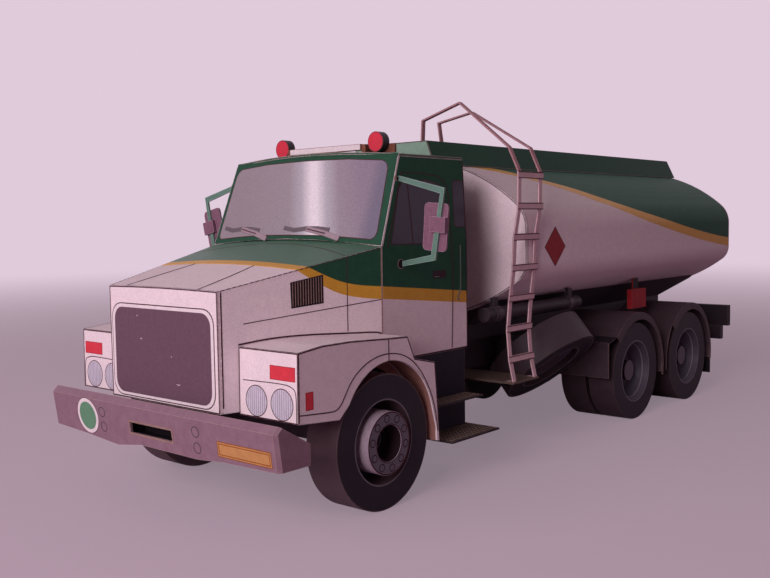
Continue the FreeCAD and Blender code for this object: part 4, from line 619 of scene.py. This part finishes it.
# The door's outline and handle, the cab's edges, and the pipe behind the door.
draw_line(sheet, [(-6.6, 38.6), (-10.75, 50.2), (-15.7, 50.25), (-20.2, 49.85), (-22.0, 48.8), (-22.75, 47.4),
                  (-23.2, 36.2), (-23.3, 31.0), (-22.9, 21.3)], 0.15, 2, 3)
lay(sheet, square_points(-21.4, 33.15, -17.85, 34.45), 5, 2, rounding=0.3)
draw_line(sheet, [(-18.3, 33.45), (-19.6, 33.45)], 0.12, 4, 3)
draw_line(sheet, [(-10.6, 21.03), (-27.27, 21.03), (-27.27, 52.7)], 0.18, 2, 3)
pipe_line = [(-25.5, 38.4), (-25.5, 31.4), (-25.2, 30.5), (-24.7, 29.8), (-24.7, 29.3), (-25.2, 29.2)]
draw_line(sheet, pipe_line, 0.28, 4, 3)
fasten_pair(sheet, "cab_side_print_{side}", cab_side,
            [green_ink, yellow_print, line_ink, window_print, muted_ink, handle_print], "green_print",
            up_cuts=[window_sill])
sheet = bmesh.new()
lay(sheet, square_points(-19.35, 28.6, 19.35, 30.6), 0, 1)
lay(sheet, square_points(-19.35, 21.4, 19.35, 28.6), 1, 1)
lay(sheet, square_points(-13.0, 40.6, 13.0, 49.4), 2, 1, rounding=1.4, rim=0.2, rim_ink=3)
fasten(sheet, "cab_back_print", facing_back(-27.4), [yellow_print, white_ink, window_print, line_ink], "green_print")


def windscreen(across, up, lift):
    """The bent windscreen, across the truck as a share of its half width times 20."""
    share = across / 20
    rise = (up - window_sill) / 15.3
    half = cab_half - 0.826 * rise
    return (front_axle_x - 5.2 - 5.718 * rise + 1.5 * (1 - share**2) + 0.93 * lift,
            share * half + 0.14 * share * lift, up + 0.35 * lift)


# Lilac-grey print of the windscreen, smooth, with one broad slanting gleam printed in it, and a band of painted shade
# at its left side, where the screen bends back. The dots of the print are drawn 0.2 mm wide to show.
material, tree = new_material("lilac_windscreen_print")
coordinates = add_node(tree, "ShaderNodeTexCoord")
axes = add_node(tree, "ShaderNodeSeparateXYZ", None, {"Vector": coordinates.outputs["Object"]})
slant = add_node(tree, "ShaderNodeMath", {"operation": "MULTIPLY_ADD"}, {
    0: axes.outputs["Z"], 1: 0.34, 2: axes.outputs["Y"]})
ramp = add_node(tree, "ShaderNodeValToRGB", None, {"Fac": add_node(tree, "ShaderNodeMapRange", None, {
    "Value": slant.outputs["Value"], "From Min": -0.00025, "From Max": 0.03975}).outputs["Result"]})
stops = ramp.color_ramp.elements
stops[0].position, stops[0].color = 0.0, hex_colour("#94888f")
stops[1].position, stops[1].color = 1.0, hex_colour("#7f6e80")
for position, code in ((0.36, "#9a8f98"), (0.435, "#b3aeb9"), (0.49, "#ece4ec"), (0.52, "#ece4ec"),
                       (0.575, "#b3aeb9"), (0.64, "#968a95"), (0.75, "#8a7b8d")):
    stop = stops.new(position)
    stop.color = hex_colour(code)
# Painted shade: a darker lilac towards the screen's left edge, where it bends back.
painted_shade_band = add_node(tree, "ShaderNodeMapRange", {"interpolation_type": "SMOOTHSTEP"}, {
    "Value": axes.outputs["Y"], "From Min": 0.0142, "From Max": 0.0172})
with_painted_shade = add_node(tree, "ShaderNodeMix", {"data_type": "RGBA"}, {
    0: painted_shade_band.outputs["Result"], 6: ramp.outputs["Color"], 7: hex_colour("#6f677c")})
dots = add_node(tree, "ShaderNodeTexNoise", None, {
    "Vector": coordinates.outputs["Object"], "Scale": 5000.0, "Detail": 2.0})
speckle = add_node(tree, "ShaderNodeMapRange", None, {
    "Value": dots.outputs["Fac"], "From Min": 0.35, "From Max": 0.65, "To Min": 0.88, "To Max": 1.12})
mottled = add_node(tree, "ShaderNodeVectorMath", {"operation": "SCALE"}, {
    0: with_painted_shade.outputs[2], "Scale": speckle.outputs["Result"]})
surface = add_node(tree, "ShaderNodeBsdfPrincipled", None, {
    "Base Color": mottled.outputs["Vector"], "Roughness": 0.34, "Specular IOR Level": 0.3})
add_node(tree, "ShaderNodeOutputMaterial", None, {"Surface": surface.outputs["BSDF"]})
windscreen_print = material
bend_cuts = [1.25 * step for step in range(-15, 16)]
sheet = bmesh.new()
band_top = [(-19.88, 53.3), (-14.0, 53.62), (-7.0, 53.95), (0.0, 54.02), (7.0, 53.95), (14.0, 53.62), (19.88, 53.3)]
lay(sheet, [(19.88, 38.95), (13.5, 39.45), (6.5, 39.85), (0.0, 40.0), (-6.5, 39.85), (-13.5, 39.45), (-19.88, 38.95),
            *band_top], 0, 1)
lay(sheet, [(-19.1, 41.0), (-18.9, 40.1), (-18.2, 39.75), (-12.8, 40.15), (-6.5, 40.45), (0.0, 40.5), (6.5, 40.45),
            (12.8, 40.15), (17.8, 39.8), (18.5, 40.2), (18.8, 41.0), (18.5, 50.9), (18.1, 51.8), (17.2, 52.3),
            (10.0, 52.8), (0.0, 52.95), (-10.0, 52.8), (-17.8, 52.3), (-18.7, 51.8), (-19.1, 50.9)], 1, 2, rim=0.14,
    rim_ink=2)
fasten(sheet, "windscreen_print", windscreen, [green_ink, windscreen_print, line_ink], "green_print",
       across_cuts=bend_cuts)

# Roof sign and beacons
# A thin brown card strip with a white face, whose ends reach back to two short strips, and two short rolled
# tubes with red fronts.

# Reddish brown print of the sign, matt, its cut edges rubbed pale brown.
sign_print = printed_card("sign_brown_print", "#85503f", 0.5, 0.25, "#744536", edge="#a07a6c")
# Near-black print of the beacons' tubes, and the two reds of their fronts, all matt.
beacon_side = printed_card("beacon_dark_print", "#3a383b", 0.5, 0.2, edge="#7d6a66")
beacon_red = printed_card("beacon_red_print", "#e23b4f", 0.5, 0.2)
beacon_rim = printed_card("beacon_rim_print", "#c22f42", 0.5, 0.2)
cover(sign_print, "roof_sign")
cover(beacon_side, "beacon_left", "beacon_right")
sheet = bmesh.new()
lay(sheet, square_points(-8.3, 54.52, 8.3, 55.38), 0, 1)
fasten(sheet, "sign_face_print", facing_ahead(-13.5), [white_ink], "white_print")
sheet = bmesh.new()
lay(sheet, square_points(-8.3, -14.8, 8.3, -13.6), 0, 1)
fasten(sheet, "sign_top_print", lambda across, up, lift: (front_axle_x + up, across, 55.45 + lift), [white_ink],
       "white_print")
sheet = bmesh.new()
lay(sheet, round_points(11.1, 55.7, 1.6, 48), 0, 1, rim=0.12, rim_ink=1)
fasten_pair(sheet, "beacon_print_{side}", facing_ahead(-14.2), [beacon_red, beacon_rim], "red_print")

# Mirrors and wipers
# Bent strips of green card hooked into the cab sides carry grey heads. The wipers are fine cut-outs: a bent
# blade on the glass and a paler arm that rises to it from the scuttle.
hole, catch = (-9.75, 35.95), (-9.55, 49.3)
# Pale green print of the brackets, nearly white at its cut edges, and the heads' mottled mauve print.
pale_green_print = printed_card("pale_green_print", "#668a7c", 0.5, 0.25, edge="#b9cec6")
mirror_print = printed_card("mottled_mirror_print", "#8a6477", 0.55, 0.15, "#7b5769", 0.6, "#c9b3bd")
cover(pale_green_print, "mirror_bracket_left", "mirror_bracket_right")
cover(mirror_print, "mirror_head_left", "mirror_head_right")
sheet = bmesh.new()
lay(sheet, round_points(*hole, 0.7, 28), 0, 3)
draw_ring(sheet, 0.72, 0.12, 1, 3, 28, hole)
lay(sheet, round_points(*catch, 0.45, 20), 1, 3)
lay(sheet, round_points(-9.85, 49.25, 0.28, 16), 0, 4)
fasten_pair(sheet, "bracket_hole_print_{side}", cab_side, [black_ink_and_painted_shade, cut_card], "green_print")
# Grey print of the wiper blades and the arms' paler one with dark edges, both matt.
blade_print = printed_card("wiper_blade_print", "#675c63", 0.5, 0.25, edge="#8b7c84")
arm_print = printed_card("wiper_arm_print", "#a8929c", 0.5, 0.25, edge="#4d3f45")
for side, foot in (("left", 11.9), ("right", -4.7)):
    sheet = bmesh.new()
    draw_line(sheet, [(foot - 13.0, 41.75), (foot - 10.4, 41.35), (foot - 7.8, 41.6), (foot - 5.2, 41.6),
                      (foot - 2.6, 41.35)], 0.7, 0, 8)
    draw_line(sheet, [(foot - 0.2, 39.95), (foot - 3.4, 40.8), (foot - 7.6, 41.55)], 0.85, 1, 13)
    draw_line(sheet, [(foot - 3.2, 40.75), (foot - 7.4, 41.5)], 0.14, 2, 14)
    piece = fasten(sheet, "wiper_cutout_" + side, windscreen, [blade_print, arm_print, line_ink], "grey_print",
                   across_cuts=bend_cuts)
    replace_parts(piece, "wiper_" + side)

# Steps
# Dark folded boxes glued below the doors, with two treads printed as chequer plate, its strokes 0.6 mm long and
# 0.85 mm apart.

# Near-black print of the boxes with brown cut edges, matt.
step_print = printed_card("step_box_print", "#292530", 0.55, 0.1, edge="#8f7a72")
# Brown-grey ground of the chequer plate and the pale ink of its strokes.
tread_plate_print = printed_card("tread_plate_print", "#4e413c", 0.5)
stroke_ink = printed_card("tread_stroke_ink", "#c0aa9c", 0.5)
cover(step_print, "steps_left", "steps_right")


def chequer(sheet, left, low, right, high, pitch):
    """A dark ground with pairs of crossing strokes in rows."""
    lay(sheet, square_points(left, low, right, high), 0, 1)
    for row in range(int((high - low) / pitch)):
        for place in range(int((right - left) / pitch)):
            across, up = left + (place + 0.5) * pitch, low + (row + 0.5) * pitch
            slope = 0.2 if (row + place) % 2 else -0.2
            draw_line(sheet, [(across - 0.25, up - slope), (across + 0.25, up + slope)], 0.2, 1, 2)


def facing_up(level):
    """A print's place on a flat face that looks up, measured from the front axle."""
    return lambda across, up, lift: (front_axle_x + across, up, level + lift)


for tread, rear, outer, level in (("upper", -26.15, 23.55, 13.3), ("lower", -27.05, 26.25, 7.8)):
    sheet = bmesh.new()
    chequer(sheet, rear, 20.1, -14.15, outer, 0.85)
    fasten_pair(sheet, tread + "_tread_print_{side}", facing_up(level), [tread_plate_print, stroke_ink], "grey_print")

# Tank
# A sheet rolled to an oval drum and closed by two end plates: white below, green above a yellow stripe
# that climbs to the walkway at the front. A plain red diamond is printed on each side.

# The left half of the drum's section in four arcs, each by its radius, its middle's Y and Z, and its first and last
# turn from straight up; the crown's and shoulder's lengths are in millimetres.
drum_arcs = ((35.0, 0.0, 19.0, 0.0, 0.7144), (6.0, 19.0, 40.909, 0.7144, math.pi / 2),
             (4.0, 21.0, 34.977, math.pi / 2, 2.508), (39.5, 0.0, 63.6, 2.508, math.pi))
crown_radius, crown_middle, crown_way = 35.0, 19.0, 25.004
shoulder_radius, shoulder_middle, shoulder_turn, shoulder_way = 6.0, 40.909, 0.7144, 5.139


def tank_skin(across, up, lift):
    """The drum's left skin; up is the way down round it from the crown, in millimetres."""
    way = up
    for radius, middle_y, middle_z, start, end in drum_arcs[:2]:
        if way <= radius * (end - start):
            turn = start + way / radius
            return (front_axle_x + across, middle_y + (radius + lift) * math.sin(turn),
                    middle_z + (radius + lift) * math.cos(turn))
        way -= radius * (end - start)
    return (front_axle_x + across, 25.0 + lift, shoulder_middle - way)


def way_down(height):
    """The way round the drum from its crown down to a height."""
    if height <= shoulder_middle:
        return crown_way + shoulder_way + shoulder_middle - height
    if height <= 45.442:
        return crown_way + shoulder_radius * (math.acos((height - shoulder_middle) / shoulder_radius) - shoulder_turn)
    return crown_radius * math.acos((height - crown_middle) / crown_radius)


def drum_outline(inset):
    """The left half of the drum's section from the crown to the keel."""
    points = []
    for (radius, middle_y, middle_z, start, end), steps in zip(drum_arcs, (12, 6, 6, 10)):
        for step in range(steps + 1):
            turn, reach = start + (end - start) * step / steps, radius - inset
            points.append((middle_y + reach * math.sin(turn), middle_z + reach * math.cos(turn)))
    return points


cover(white_card, "tank_body", "tank_front_end", "tank_rear_end")
# The yellow stripe's edges along the truck, by their height on the drum.
upper_edge = [(-38.8, 53.9), (-42.0, 53.75), (-45.0, 53.4), (-49.0, 52.5), (-53.6, 51.25), (-58.6, 50.1),
              (-66.4, 48.4), (-72.3, 46.6), (-81.0, 44.4), (-96.0, 41.95), (-112.0, 39.5), (-125.0, 37.9),
              (-132.5, 37.2)]
lower_edge = [(-38.8, 53.1), (-40.4, 52.7), (-45.0, 52.1), (-51.9, 50.75), (-56.4, 49.65), (-63.5, 47.75),
              (-69.6, 45.7), (-81.0, 42.8), (-96.0, 40.1), (-112.0, 37.55), (-125.0, 35.9), (-132.5, 35.1)]
upper_edge = smooth([(across, way_down(height)) for across, height in upper_edge])
lower_edge = smooth([(across, way_down(height)) for across, height in lower_edge])
# Deep red print of the diamonds, matt.
diamond_print = printed_card("diamond_red_print", "#98202a", 0.5, 0.2)
sheet = bmesh.new()
lay(sheet, upper_edge + [(-132.5, 0.0), (-38.8, 0.0)], 0, 2)
lay(sheet, lower_edge + upper_edge[::-1], 1, 2)
lay(sheet, [(across, way_down(height)) for across, height in ((-47.9, 41.2), (-44.2, 37.5), (-47.9, 33.9),
                                                              (-51.6, 37.5))], 2, 2, rim=0.13, rim_ink=3)
fasten_pair(sheet, "tank_print_{side}", tank_skin, [green_ink, yellow_print, diamond_print, line_ink], "white_print",
            up_cuts=[2.0 * step for step in range(1, 12)] + [crown_way + 0.64 * step for step in range(9)])
# The thin outline printed just inside both ends, and the green and the stripe carried across the rear one.
rim_line = drum_outline(0.22)
rim_line += [(-across, up) for across, up in rim_line[-2:0:-1]]
sheet = bmesh.new()
draw_line(sheet, rim_line, 0.14, 0, 1, closed=True)
fasten(sheet, "tank_front_outline", facing_ahead(-38.3), [line_ink], "white_print")
sheet = bmesh.new()
green_half = [point for point in drum_outline(0.2) if point[1] > 37.2] + [(24.8, 37.2)]
lay(sheet, green_half + [(-across, up) for across, up in green_half[:0:-1]], 0, 1)
lay(sheet, square_points(-24.8, 35.1, 24.8, 37.2), 1, 1)
draw_line(sheet, rim_line, 0.14, 2, 2, closed=True)
fasten(sheet, "tank_rear_print", facing_back(-133.0), [green_ink, yellow_print, line_ink], "white_print")

# Walkway on the tank
# Four leaning walls of green card glued along the crown, and a grey strip between them with three lids, each
# printed with a ring and a bar.

# Warm grey print of the lids with darker edges, and the walls' deep green, its cut rim rubbed pale; both matt.
lid_print = printed_card("lid_grey_print", "#8d828a", 0.45, 0.25, edge="#5b4c53")
coaming_print = printed_card("coaming_green_print", "#264a3a", 0.55, 0.08, "#224434", edge="#b39493", edge_width=0.18)
cover(coaming_print, "walkway_coaming")
cover(lid_print, "walkway_lids")
# Pale mint green on the front wall alone, much lighter than the deep green of the other walls.
pale_front_green = printed_card("front_wall_pale_green", "#8fac9c", 0.6, 0.1, "#84a292")
sheet = bmesh.new()
lay(sheet, [(-10.3, 52.65), (10.3, 52.65), (8.35, 56.95), (-8.35, 56.95)], 0, 1, rim=0.12, rim_ink=1)
fasten(sheet, "coaming_front_print",
       lambda across, up, lift: (front_axle_x - 31.0 - (up - 52.6) * 0.0795 + lift, across, up),
       [pale_front_green, line_ink], "green_print")
sheet = bmesh.new()
for across in (-107.883, -85.65, -63.417):
    draw_ring(sheet, 2.1, 0.14, 0, 1, 36, (across, 0.0))
    draw_line(sheet, [(across - 1.2, 0.0), (across + 1.2, 0.0)], 0.4, 0, 1)
fasten(sheet, "lid_print", facing_up(54.8), [line_ink], "grey_print")

# Ladder, platform and hoops
# Strips cut from pinkish white card with thin brown outlines. The rungs are glued across the rails and stand
# over them a little, and two folded tabs hold the ladder on its platform.

# Pinkish white card of the ladder, and the duller, darker pink card of the hoops, partly their own tone and partly
# painted shade; both with dark brown cut edges, and the platform's brown print.
ladder_card = printed_card("ladder_card", "#e0bec6", 0.65, 0.2, "#d5b2bb", edge="#6b4145")
platform_print = printed_card("platform_brown_print", "#5f5249", 0.5, 0.2, edge="#93796c")
hoop_card_with_painted_shade = printed_card("hoop_card_with_painted_shade", "#b98c92", 0.6, 0.2, "#ab8086", edge="#6b4145")
cover(ladder_card, "ladder")
cover(hoop_card_with_painted_shade, "hoop_front", "hoop_rear")
cover(platform_print, "ladder_platform")
ladder_bends = [(14.5, 25.2), (18.27, 24.375), (23.5, 23.95), (28.67, 24.425), (34.1, 25.15), (39.38, 25.4),
                (44.46, 26.3), (50.75, 26.4)]


def ladder_face(across, up, lift):
    """The ladder's outer face, which follows the drum."""
    for (low, low_y), (high, high_y) in zip(ladder_bends, ladder_bends[1:]):
        if up <= high:
            break
    return (front_axle_x + across, low_y + (high_y - low_y) * (up - low) / (high - low) + 0.3 + lift, up)


sheet = bmesh.new()
for number in range(7):
    rung_top = 50.72 - 5.3 * number
    lay(sheet, square_points(-40.9, rung_top - 1.15, -32.8, rung_top), 0, 7)
    for level in (rung_top - 0.07, rung_top - 1.08):
        draw_line(sheet, [(-40.88, level), (-32.82, level)], 0.12, 1, 8)
fasten(sheet, "ladder_rungs", ladder_face, [ladder_card, line_ink], "white_print",
       up_cuts=[bend[0] for bend in ladder_bends[1:-1]])
sheet = bmesh.new()
chequer(sheet, -40.9, 17.6, -32.8, 25.55, 0.9)
for across in (-33.5, -40.2):
    lay(sheet, square_points(across - 0.45, 23.9, across + 0.45, 25.2), 2, 5)
fasten(sheet, "platform_print", facing_up(14.5), [platform_print, tread_plate_print, ladder_card], "grey_print")

# Spare wheel and hose tube
# The spare lies glued on its wedge of card with its printed face turned out and down; the rolled hose tube hangs
# behind the ladder in two straps.

# Near-black plum print of the tyres' faces, and the blotchy brown-grey of the spare's tread, with pale edges; the
# rear treads take it too, darker than the front ones as painted shade under the tank.
tyre_ink = printed_card("tyre_face_ink", "#2a242c", 0.5, 0.2, "#252027")
spare_tread_and_painted_shade = printed_card("spare_tread_and_painted_shade", "#43353b", 0.5, 0.2, "#3b2f35", 1.8, "#76605a")
# Plum-grey prints of the rims: fine pale rings, the dish itself, and the lighter hub and nuts.
rim_ring_ink = printed_card("rim_ring_ink", "#837b89", 0.45)
dish_print = printed_card("dish_plum_print", "#514a58", 0.5, 0.2, "#48424f")
hub_grey_print = printed_card("hub_grey_print", "#6f6874", 0.45, 0.25, "#675f6b", 0.5)
cover(spare_tread_and_painted_shade, "spare_wheel")
cover(plum_print, "hose_tube")


def spare_face(across, up, lift):
    """The spare wheel's face, tilted out and down."""
    return (front_axle_x - 56.8 + across, 18.8 + 0.649 * lift + 0.760 * up, 13.5 - 0.760 * lift + 0.649 * up)


def lay_nuts(sheet, circle, radius, count, first_turn, rim, ink, rim_ink):
    """Lay ten round nuts evenly on a circle."""
    for number in range(10):
        turn = math.radians(36 * number + first_turn)
        lay(sheet, round_points(circle * math.cos(turn), circle * math.sin(turn), radius, count), ink, 2, rim=rim,
            rim_ink=rim_ink)


sheet = bmesh.new()
draw_ring(sheet, 8.2, 3.7, 0, 1, 72)
draw_ring(sheet, 6.4, 0.16, 1, 2, 60)
draw_ring(sheet, 9.7, 0.1, 1, 2, 72)
fasten(sheet, "spare_tyre_print", spare_face, [tyre_ink, rim_ring_ink], "tyre_print")
sheet = bmesh.new()
draw_ring(sheet, 4.45, 3.55, 0, 1, 60)
draw_ring(sheet, 5.6, 0.14, 1, 2, 60)
lay_nuts(sheet, 3.9, 0.5, 16, 0, 0.12, 2, 3)
fasten(sheet, "spare_rim_print", lambda across, up, lift: spare_face(across, up, lift - 1.2),
       [dish_print, rim_ring_ink, hub_grey_print, line_ink], "hub_print")
# Grey print of the straps round the hose tube, matt.
strap_print = printed_card("hose_strap_print", "#5d5257", 0.45, edge="#9c8886")
hose_radius = 1.4
sheet = bmesh.new()
for start in (-62.6, -37.4):
    draw_line(sheet, [(start - 0.62, 0.0), (start + 0.62, 0.0)], 8.85, 0, 1)
fasten(sheet, "hose_strap_print",
       lambda across, up, lift: (front_axle_x + across, 19.0 + (hose_radius + lift) * math.sin(up / hose_radius),
                                 25.77 - (hose_radius + lift) * math.cos(up / hose_radius)),
       [strap_print], "grey_print", up_cuts=[0.44 * step for step in range(-9, 10)])

# Red box and fuel tank
# Closed boxes of folded card: a small red one hangs above the first rear mudguard, and a rounded grey tank with
# two straps is glued to the right rail.

# Deep red print of the box and warm grey print of the fuel tank, both matt with paler folds.
red_box_print = printed_card("red_box_print", "#a8242e", 0.5, 0.2, edge="#b5605f")
fuel_print = printed_card("fuel_tank_print", "#6b626a", 0.45, 0.25, edge="#9a8a8e")
cover(red_box_print, "red_box")
cover(fuel_print, "fuel_tank")
sheet = bmesh.new()
draw_line(sheet, square_points(-95.1, 22.8, -88.8, 26.4), 0.12, 0, 1, closed=True)
draw_line(sheet, [(-95.1, 25.6), (-88.8, 25.6)], 0.12, 0, 1)
fasten(sheet, "red_box_lines", facing_left(20.5), [dark_red_print], "red_print")
# The hanger is covered in black as painted shade from the tank above it.
sheet = bmesh.new()
lay(sheet, square_points(-93.12, 26.8, -90.78, 29.05), 0, 1)
fasten(sheet, "red_box_hanger_painted_shade", facing_left(19.6), [black_ink_and_painted_shade], "red_print")
sheet = bmesh.new()
strap_path = [(-12.0, 19.6), *round_points(-20.2, 17.4, 2.2, 6, 90, 180),
              *round_points(-20.2, 12.8, 2.2, 6, 180, 270), (-12.0, 10.6)]
for start in (-41.4, -55.4):
    band = bmesh.new()
    draw_line(band, strap_path, 0.05, 0, 1)
    for vertex in band.verts:
        vertex.co.z = start if vertex.co.z < 0 else start + 0.8
    join_patch(sheet, band)
fasten(sheet, "fuel_tank_straps", facing_ahead(0.0), [line_ink], "grey_print")

# Rear mudguards, flaps, board and lamps
# Half tubes of grey card with a pale cut lip round the wheels; ahead of the first one a black band on the ledge
# is painted shade where the flap tucks under the guard.
# Flaps, board and lamps are strips and small boxes glued on behind.
board_back = -135.6
# Dark plum-grey print of the guards, a little blotchy, with a pale brown lip.
guard_print = printed_card("mudguard_print", "#483b41", 0.45, 0.2, "#41343a", 1.8, "#9c8178")
cover(guard_print, "mudguard_1_left", "mudguard_1_right", "mudguard_2_left", "mudguard_2_right")
cover(black_ink_and_painted_shade, "mud_flap_left", "mud_flap_right")
# Painted shade: black on the ledge between the flap and the guard.
sheet = bmesh.new()
lay(sheet, square_points(11.2, 0.0, 25.5, 3.4), 0, 1)
fasten_pair(sheet, "mudguard_ledge_painted_shade_{side}",
            lambda across, up, lift: (front_axle_x - 71.5 + 0.9706 * up + 0.2406 * lift, across,
                                      18.343 - 0.2406 * up + 0.9706 * lift), [black_ink_and_painted_shade], "grey_print")
# Near-black print of the board, matt, with brown cut edges.
board_print = printed_card("board_dark_print", "#332b30", 0.55, 0.1, edge="#76655f")
cover(board_print, "rear_board")
cover(plum_print, "rear_lamp_left", "rear_lamp_right")
sheet = bmesh.new()
for inner, outer, ink in ((15.2, 18.7, 0), (18.9, 20.8, 1), (21.0, 22.6, 3)):
    lay(sheet, square_points(inner, 11.4, outer, 14.5), ink, 1, rim=0.15, rim_ink=2)
fasten_pair(sheet, "rear_lamp_print_{side}", facing_back(board_back), [red_print, orange_ink, line_ink, white_ink],
            "red_print")
sheet = bmesh.new()
# A plain plate in the middle of the board, and slanted red bars at both sides of it.
lay(sheet, square_points(-5.4, 16.1, 5.4, 18.4), 0, 1, rim=0.12, rim_ink=1)
draw_line(sheet, square_points(-5.05, 16.45, 5.05, 18.05), 0.12, 1, 2, closed=True)
for hand in (1, -1):
    for number in range(6):
        start = hand * (9.0 + 2.4 * number)
        lay(sheet, [(start, 16.2), (start + 1.2, 16.2), (start + 1.9, 18.4), (start + 0.7, 18.4)], 2, 1)
fasten(sheet, "rear_board_print", facing_back(board_back), [plate_yellow, orange_ink, red_print], "green_print")

# Front wheels
# A rolled tread with a dark printed face glued on, and a pale drum with a printed ring of ten nuts round an
# open bore.

# Grey-plum print of the front treads, a little blotchy, with pale brown edges.
tread_print = printed_card("tread_grey_print", "#5d4a50", 0.45, 0.25, "#54434a", 1.8, "#8f746d")
cover(tread_print, "front_tyre_left", "front_tyre_right")
# Dark maroon ink round the nuts, the bore's dark plum as painted shade inside it, and the pale mauve print of the
# drum's side, all matt.
nut_line_ink = printed_card("nut_line_ink", "#3a2028", 0.6)
bore_painted_shade = printed_card("bore_plum_painted_shade", "#2f2026", 0.6, 0.1)
hub_side_print = printed_card("hub_side_print", "#c0adbc", 0.55, 0.15, "#b3a0af")
cover(hub_side_print, "front_hub_left", "front_hub_right")
tyre_middle, tyre_width = 8.15, 3.7
# The tyre's face, the painted shade round the hub, the hub's face with its nuts, and the wall and end of its bore,
# both painted shade.
sheet = bmesh.new()
draw_ring(sheet, tyre_middle, tyre_width, 0, 1, 96)
draw_ring(sheet, 6.38, 0.16, 1, 2, 72)
fasten_pair(sheet, "front_tyre_print_{side}", facing_left(24.3, height=axle_height), [tyre_ink, rim_ring_ink],
            "tyre_print", "front_wheel_{side}")
sheet = bmesh.new()
draw_ring(sheet, 5.5, 1.45, 0, 1, 60)
fasten_pair(sheet, "front_rim_shade_{side}", facing_left(19.5, height=axle_height), [black_ink_and_painted_shade], "tyre_print",
            "front_wheel_{side}")
sheet = bmesh.new()
draw_ring(sheet, 3.72, 1.9, 0, 1, 60)
draw_ring(sheet, 4.58, 0.2, 1, 2, 60)
draw_ring(sheet, 2.86, 0.14, 1, 2, 48)
lay_nuts(sheet, 3.75, 0.62, 20, 10, 0.15, 0, 2)
fasten_pair(sheet, "front_hub_print_{side}", facing_left(25.3, height=axle_height),
            [hub_grey_print, line_ink, nut_line_ink], "hub_print", "front_wheel_{side}")
sheet = bmesh.new()
draw_ring(sheet, 2.73, 0.05, 0, 1, 48)
fasten_pair(sheet, "front_bore_shade_wall_{side}",
            lambda across, up, lift: (front_axle_x + across, 22.0 if lift < 0 else 25.2, axle_height + up),
            [bore_painted_shade], "hub_print", "front_wheel_{side}")
sheet = bmesh.new()
lay(sheet, round_points(0, 0, 2.7, 48), 0, 1)
draw_ring(sheet, 1.5, 0.16, 1, 2, 36, (-0.35, 0.1))
fasten_pair(sheet, "front_bore_shade_disc_{side}", facing_left(21.94, height=axle_height), [black_ink_and_painted_shade, rim_ring_ink],
            "hub_print", "front_wheel_{side}")

# Rear wheels
# Twin rolled tyres with a dark printed face, a dished rim with printed rings and nuts, and a pale hub disc; each
# pair turns on its card axle.


def dish_face(across, up, lift):
    """The cone of the dished rim round the axle, from the tyre's face in to the hub."""
    radius = math.hypot(across, up)
    inner = radius - 0.903 * lift
    return (across * inner / radius, 21.5 + (radius - 4.6) * 3.5 / 1.66 + 0.428 * lift, up * inner / radius)


for number, along in ((1, -81.0), (2, -108.0)):
    ending, wheel = f"_{number}_{{side}}", f"rear_wheel_{number}_{{side}}"
    # The rear treads take the spare's darker print as painted shade, lying in the tank's shadow.
    cover(spare_tread_and_painted_shade, f"rear_wheels_{number}_left", f"rear_wheels_{number}_right")
    sheet = bmesh.new()
    draw_ring(sheet, tyre_middle, tyre_width, 0, 1, 96)
    draw_ring(sheet, 6.4, 0.2, 1, 2, 72)
    fasten_pair(sheet, "rear_tyre_print" + ending, facing_left(25.0, along, axle_height), [tyre_ink, rim_ring_ink],
                "tyre_print", wheel)
    sheet = bmesh.new()
    draw_ring(sheet, 5.43, 1.62, 0, 1, 72)
    draw_ring(sheet, 5.7, 0.1, 1, 2, 72)
    fasten_pair(sheet, "rear_dish_print" + ending,
                lambda *point: Vector(dish_face(*point)) + Vector((front_axle_x + along, 0.0, axle_height)),
                [dish_print, rim_ring_ink], "hub_print", wheel)
    sheet = bmesh.new()
    draw_ring(sheet, 3.4, 2.3, 0, 1, 60)
    draw_ring(sheet, 4.4, 0.12, 1, 2, 60)
    lay_nuts(sheet, 3.55, 0.42, 16, 14, 0.1, 2, 3)
    fasten_pair(sheet, "rear_rim_print" + ending, facing_left(21.5, along, axle_height),
                [dish_print, line_ink, hub_grey_print, line_ink], "hub_print", wheel)
    sheet = bmesh.new()
    lay(sheet, round_points(0, 0, 2.1, 36), 0, 1, rim=0.14, rim_ink=1)
    fasten_pair(sheet, "rear_hub_print" + ending, facing_left(23.5, along, axle_height),
                [hub_grey_print, rim_ring_ink], "hub_print", wheel)
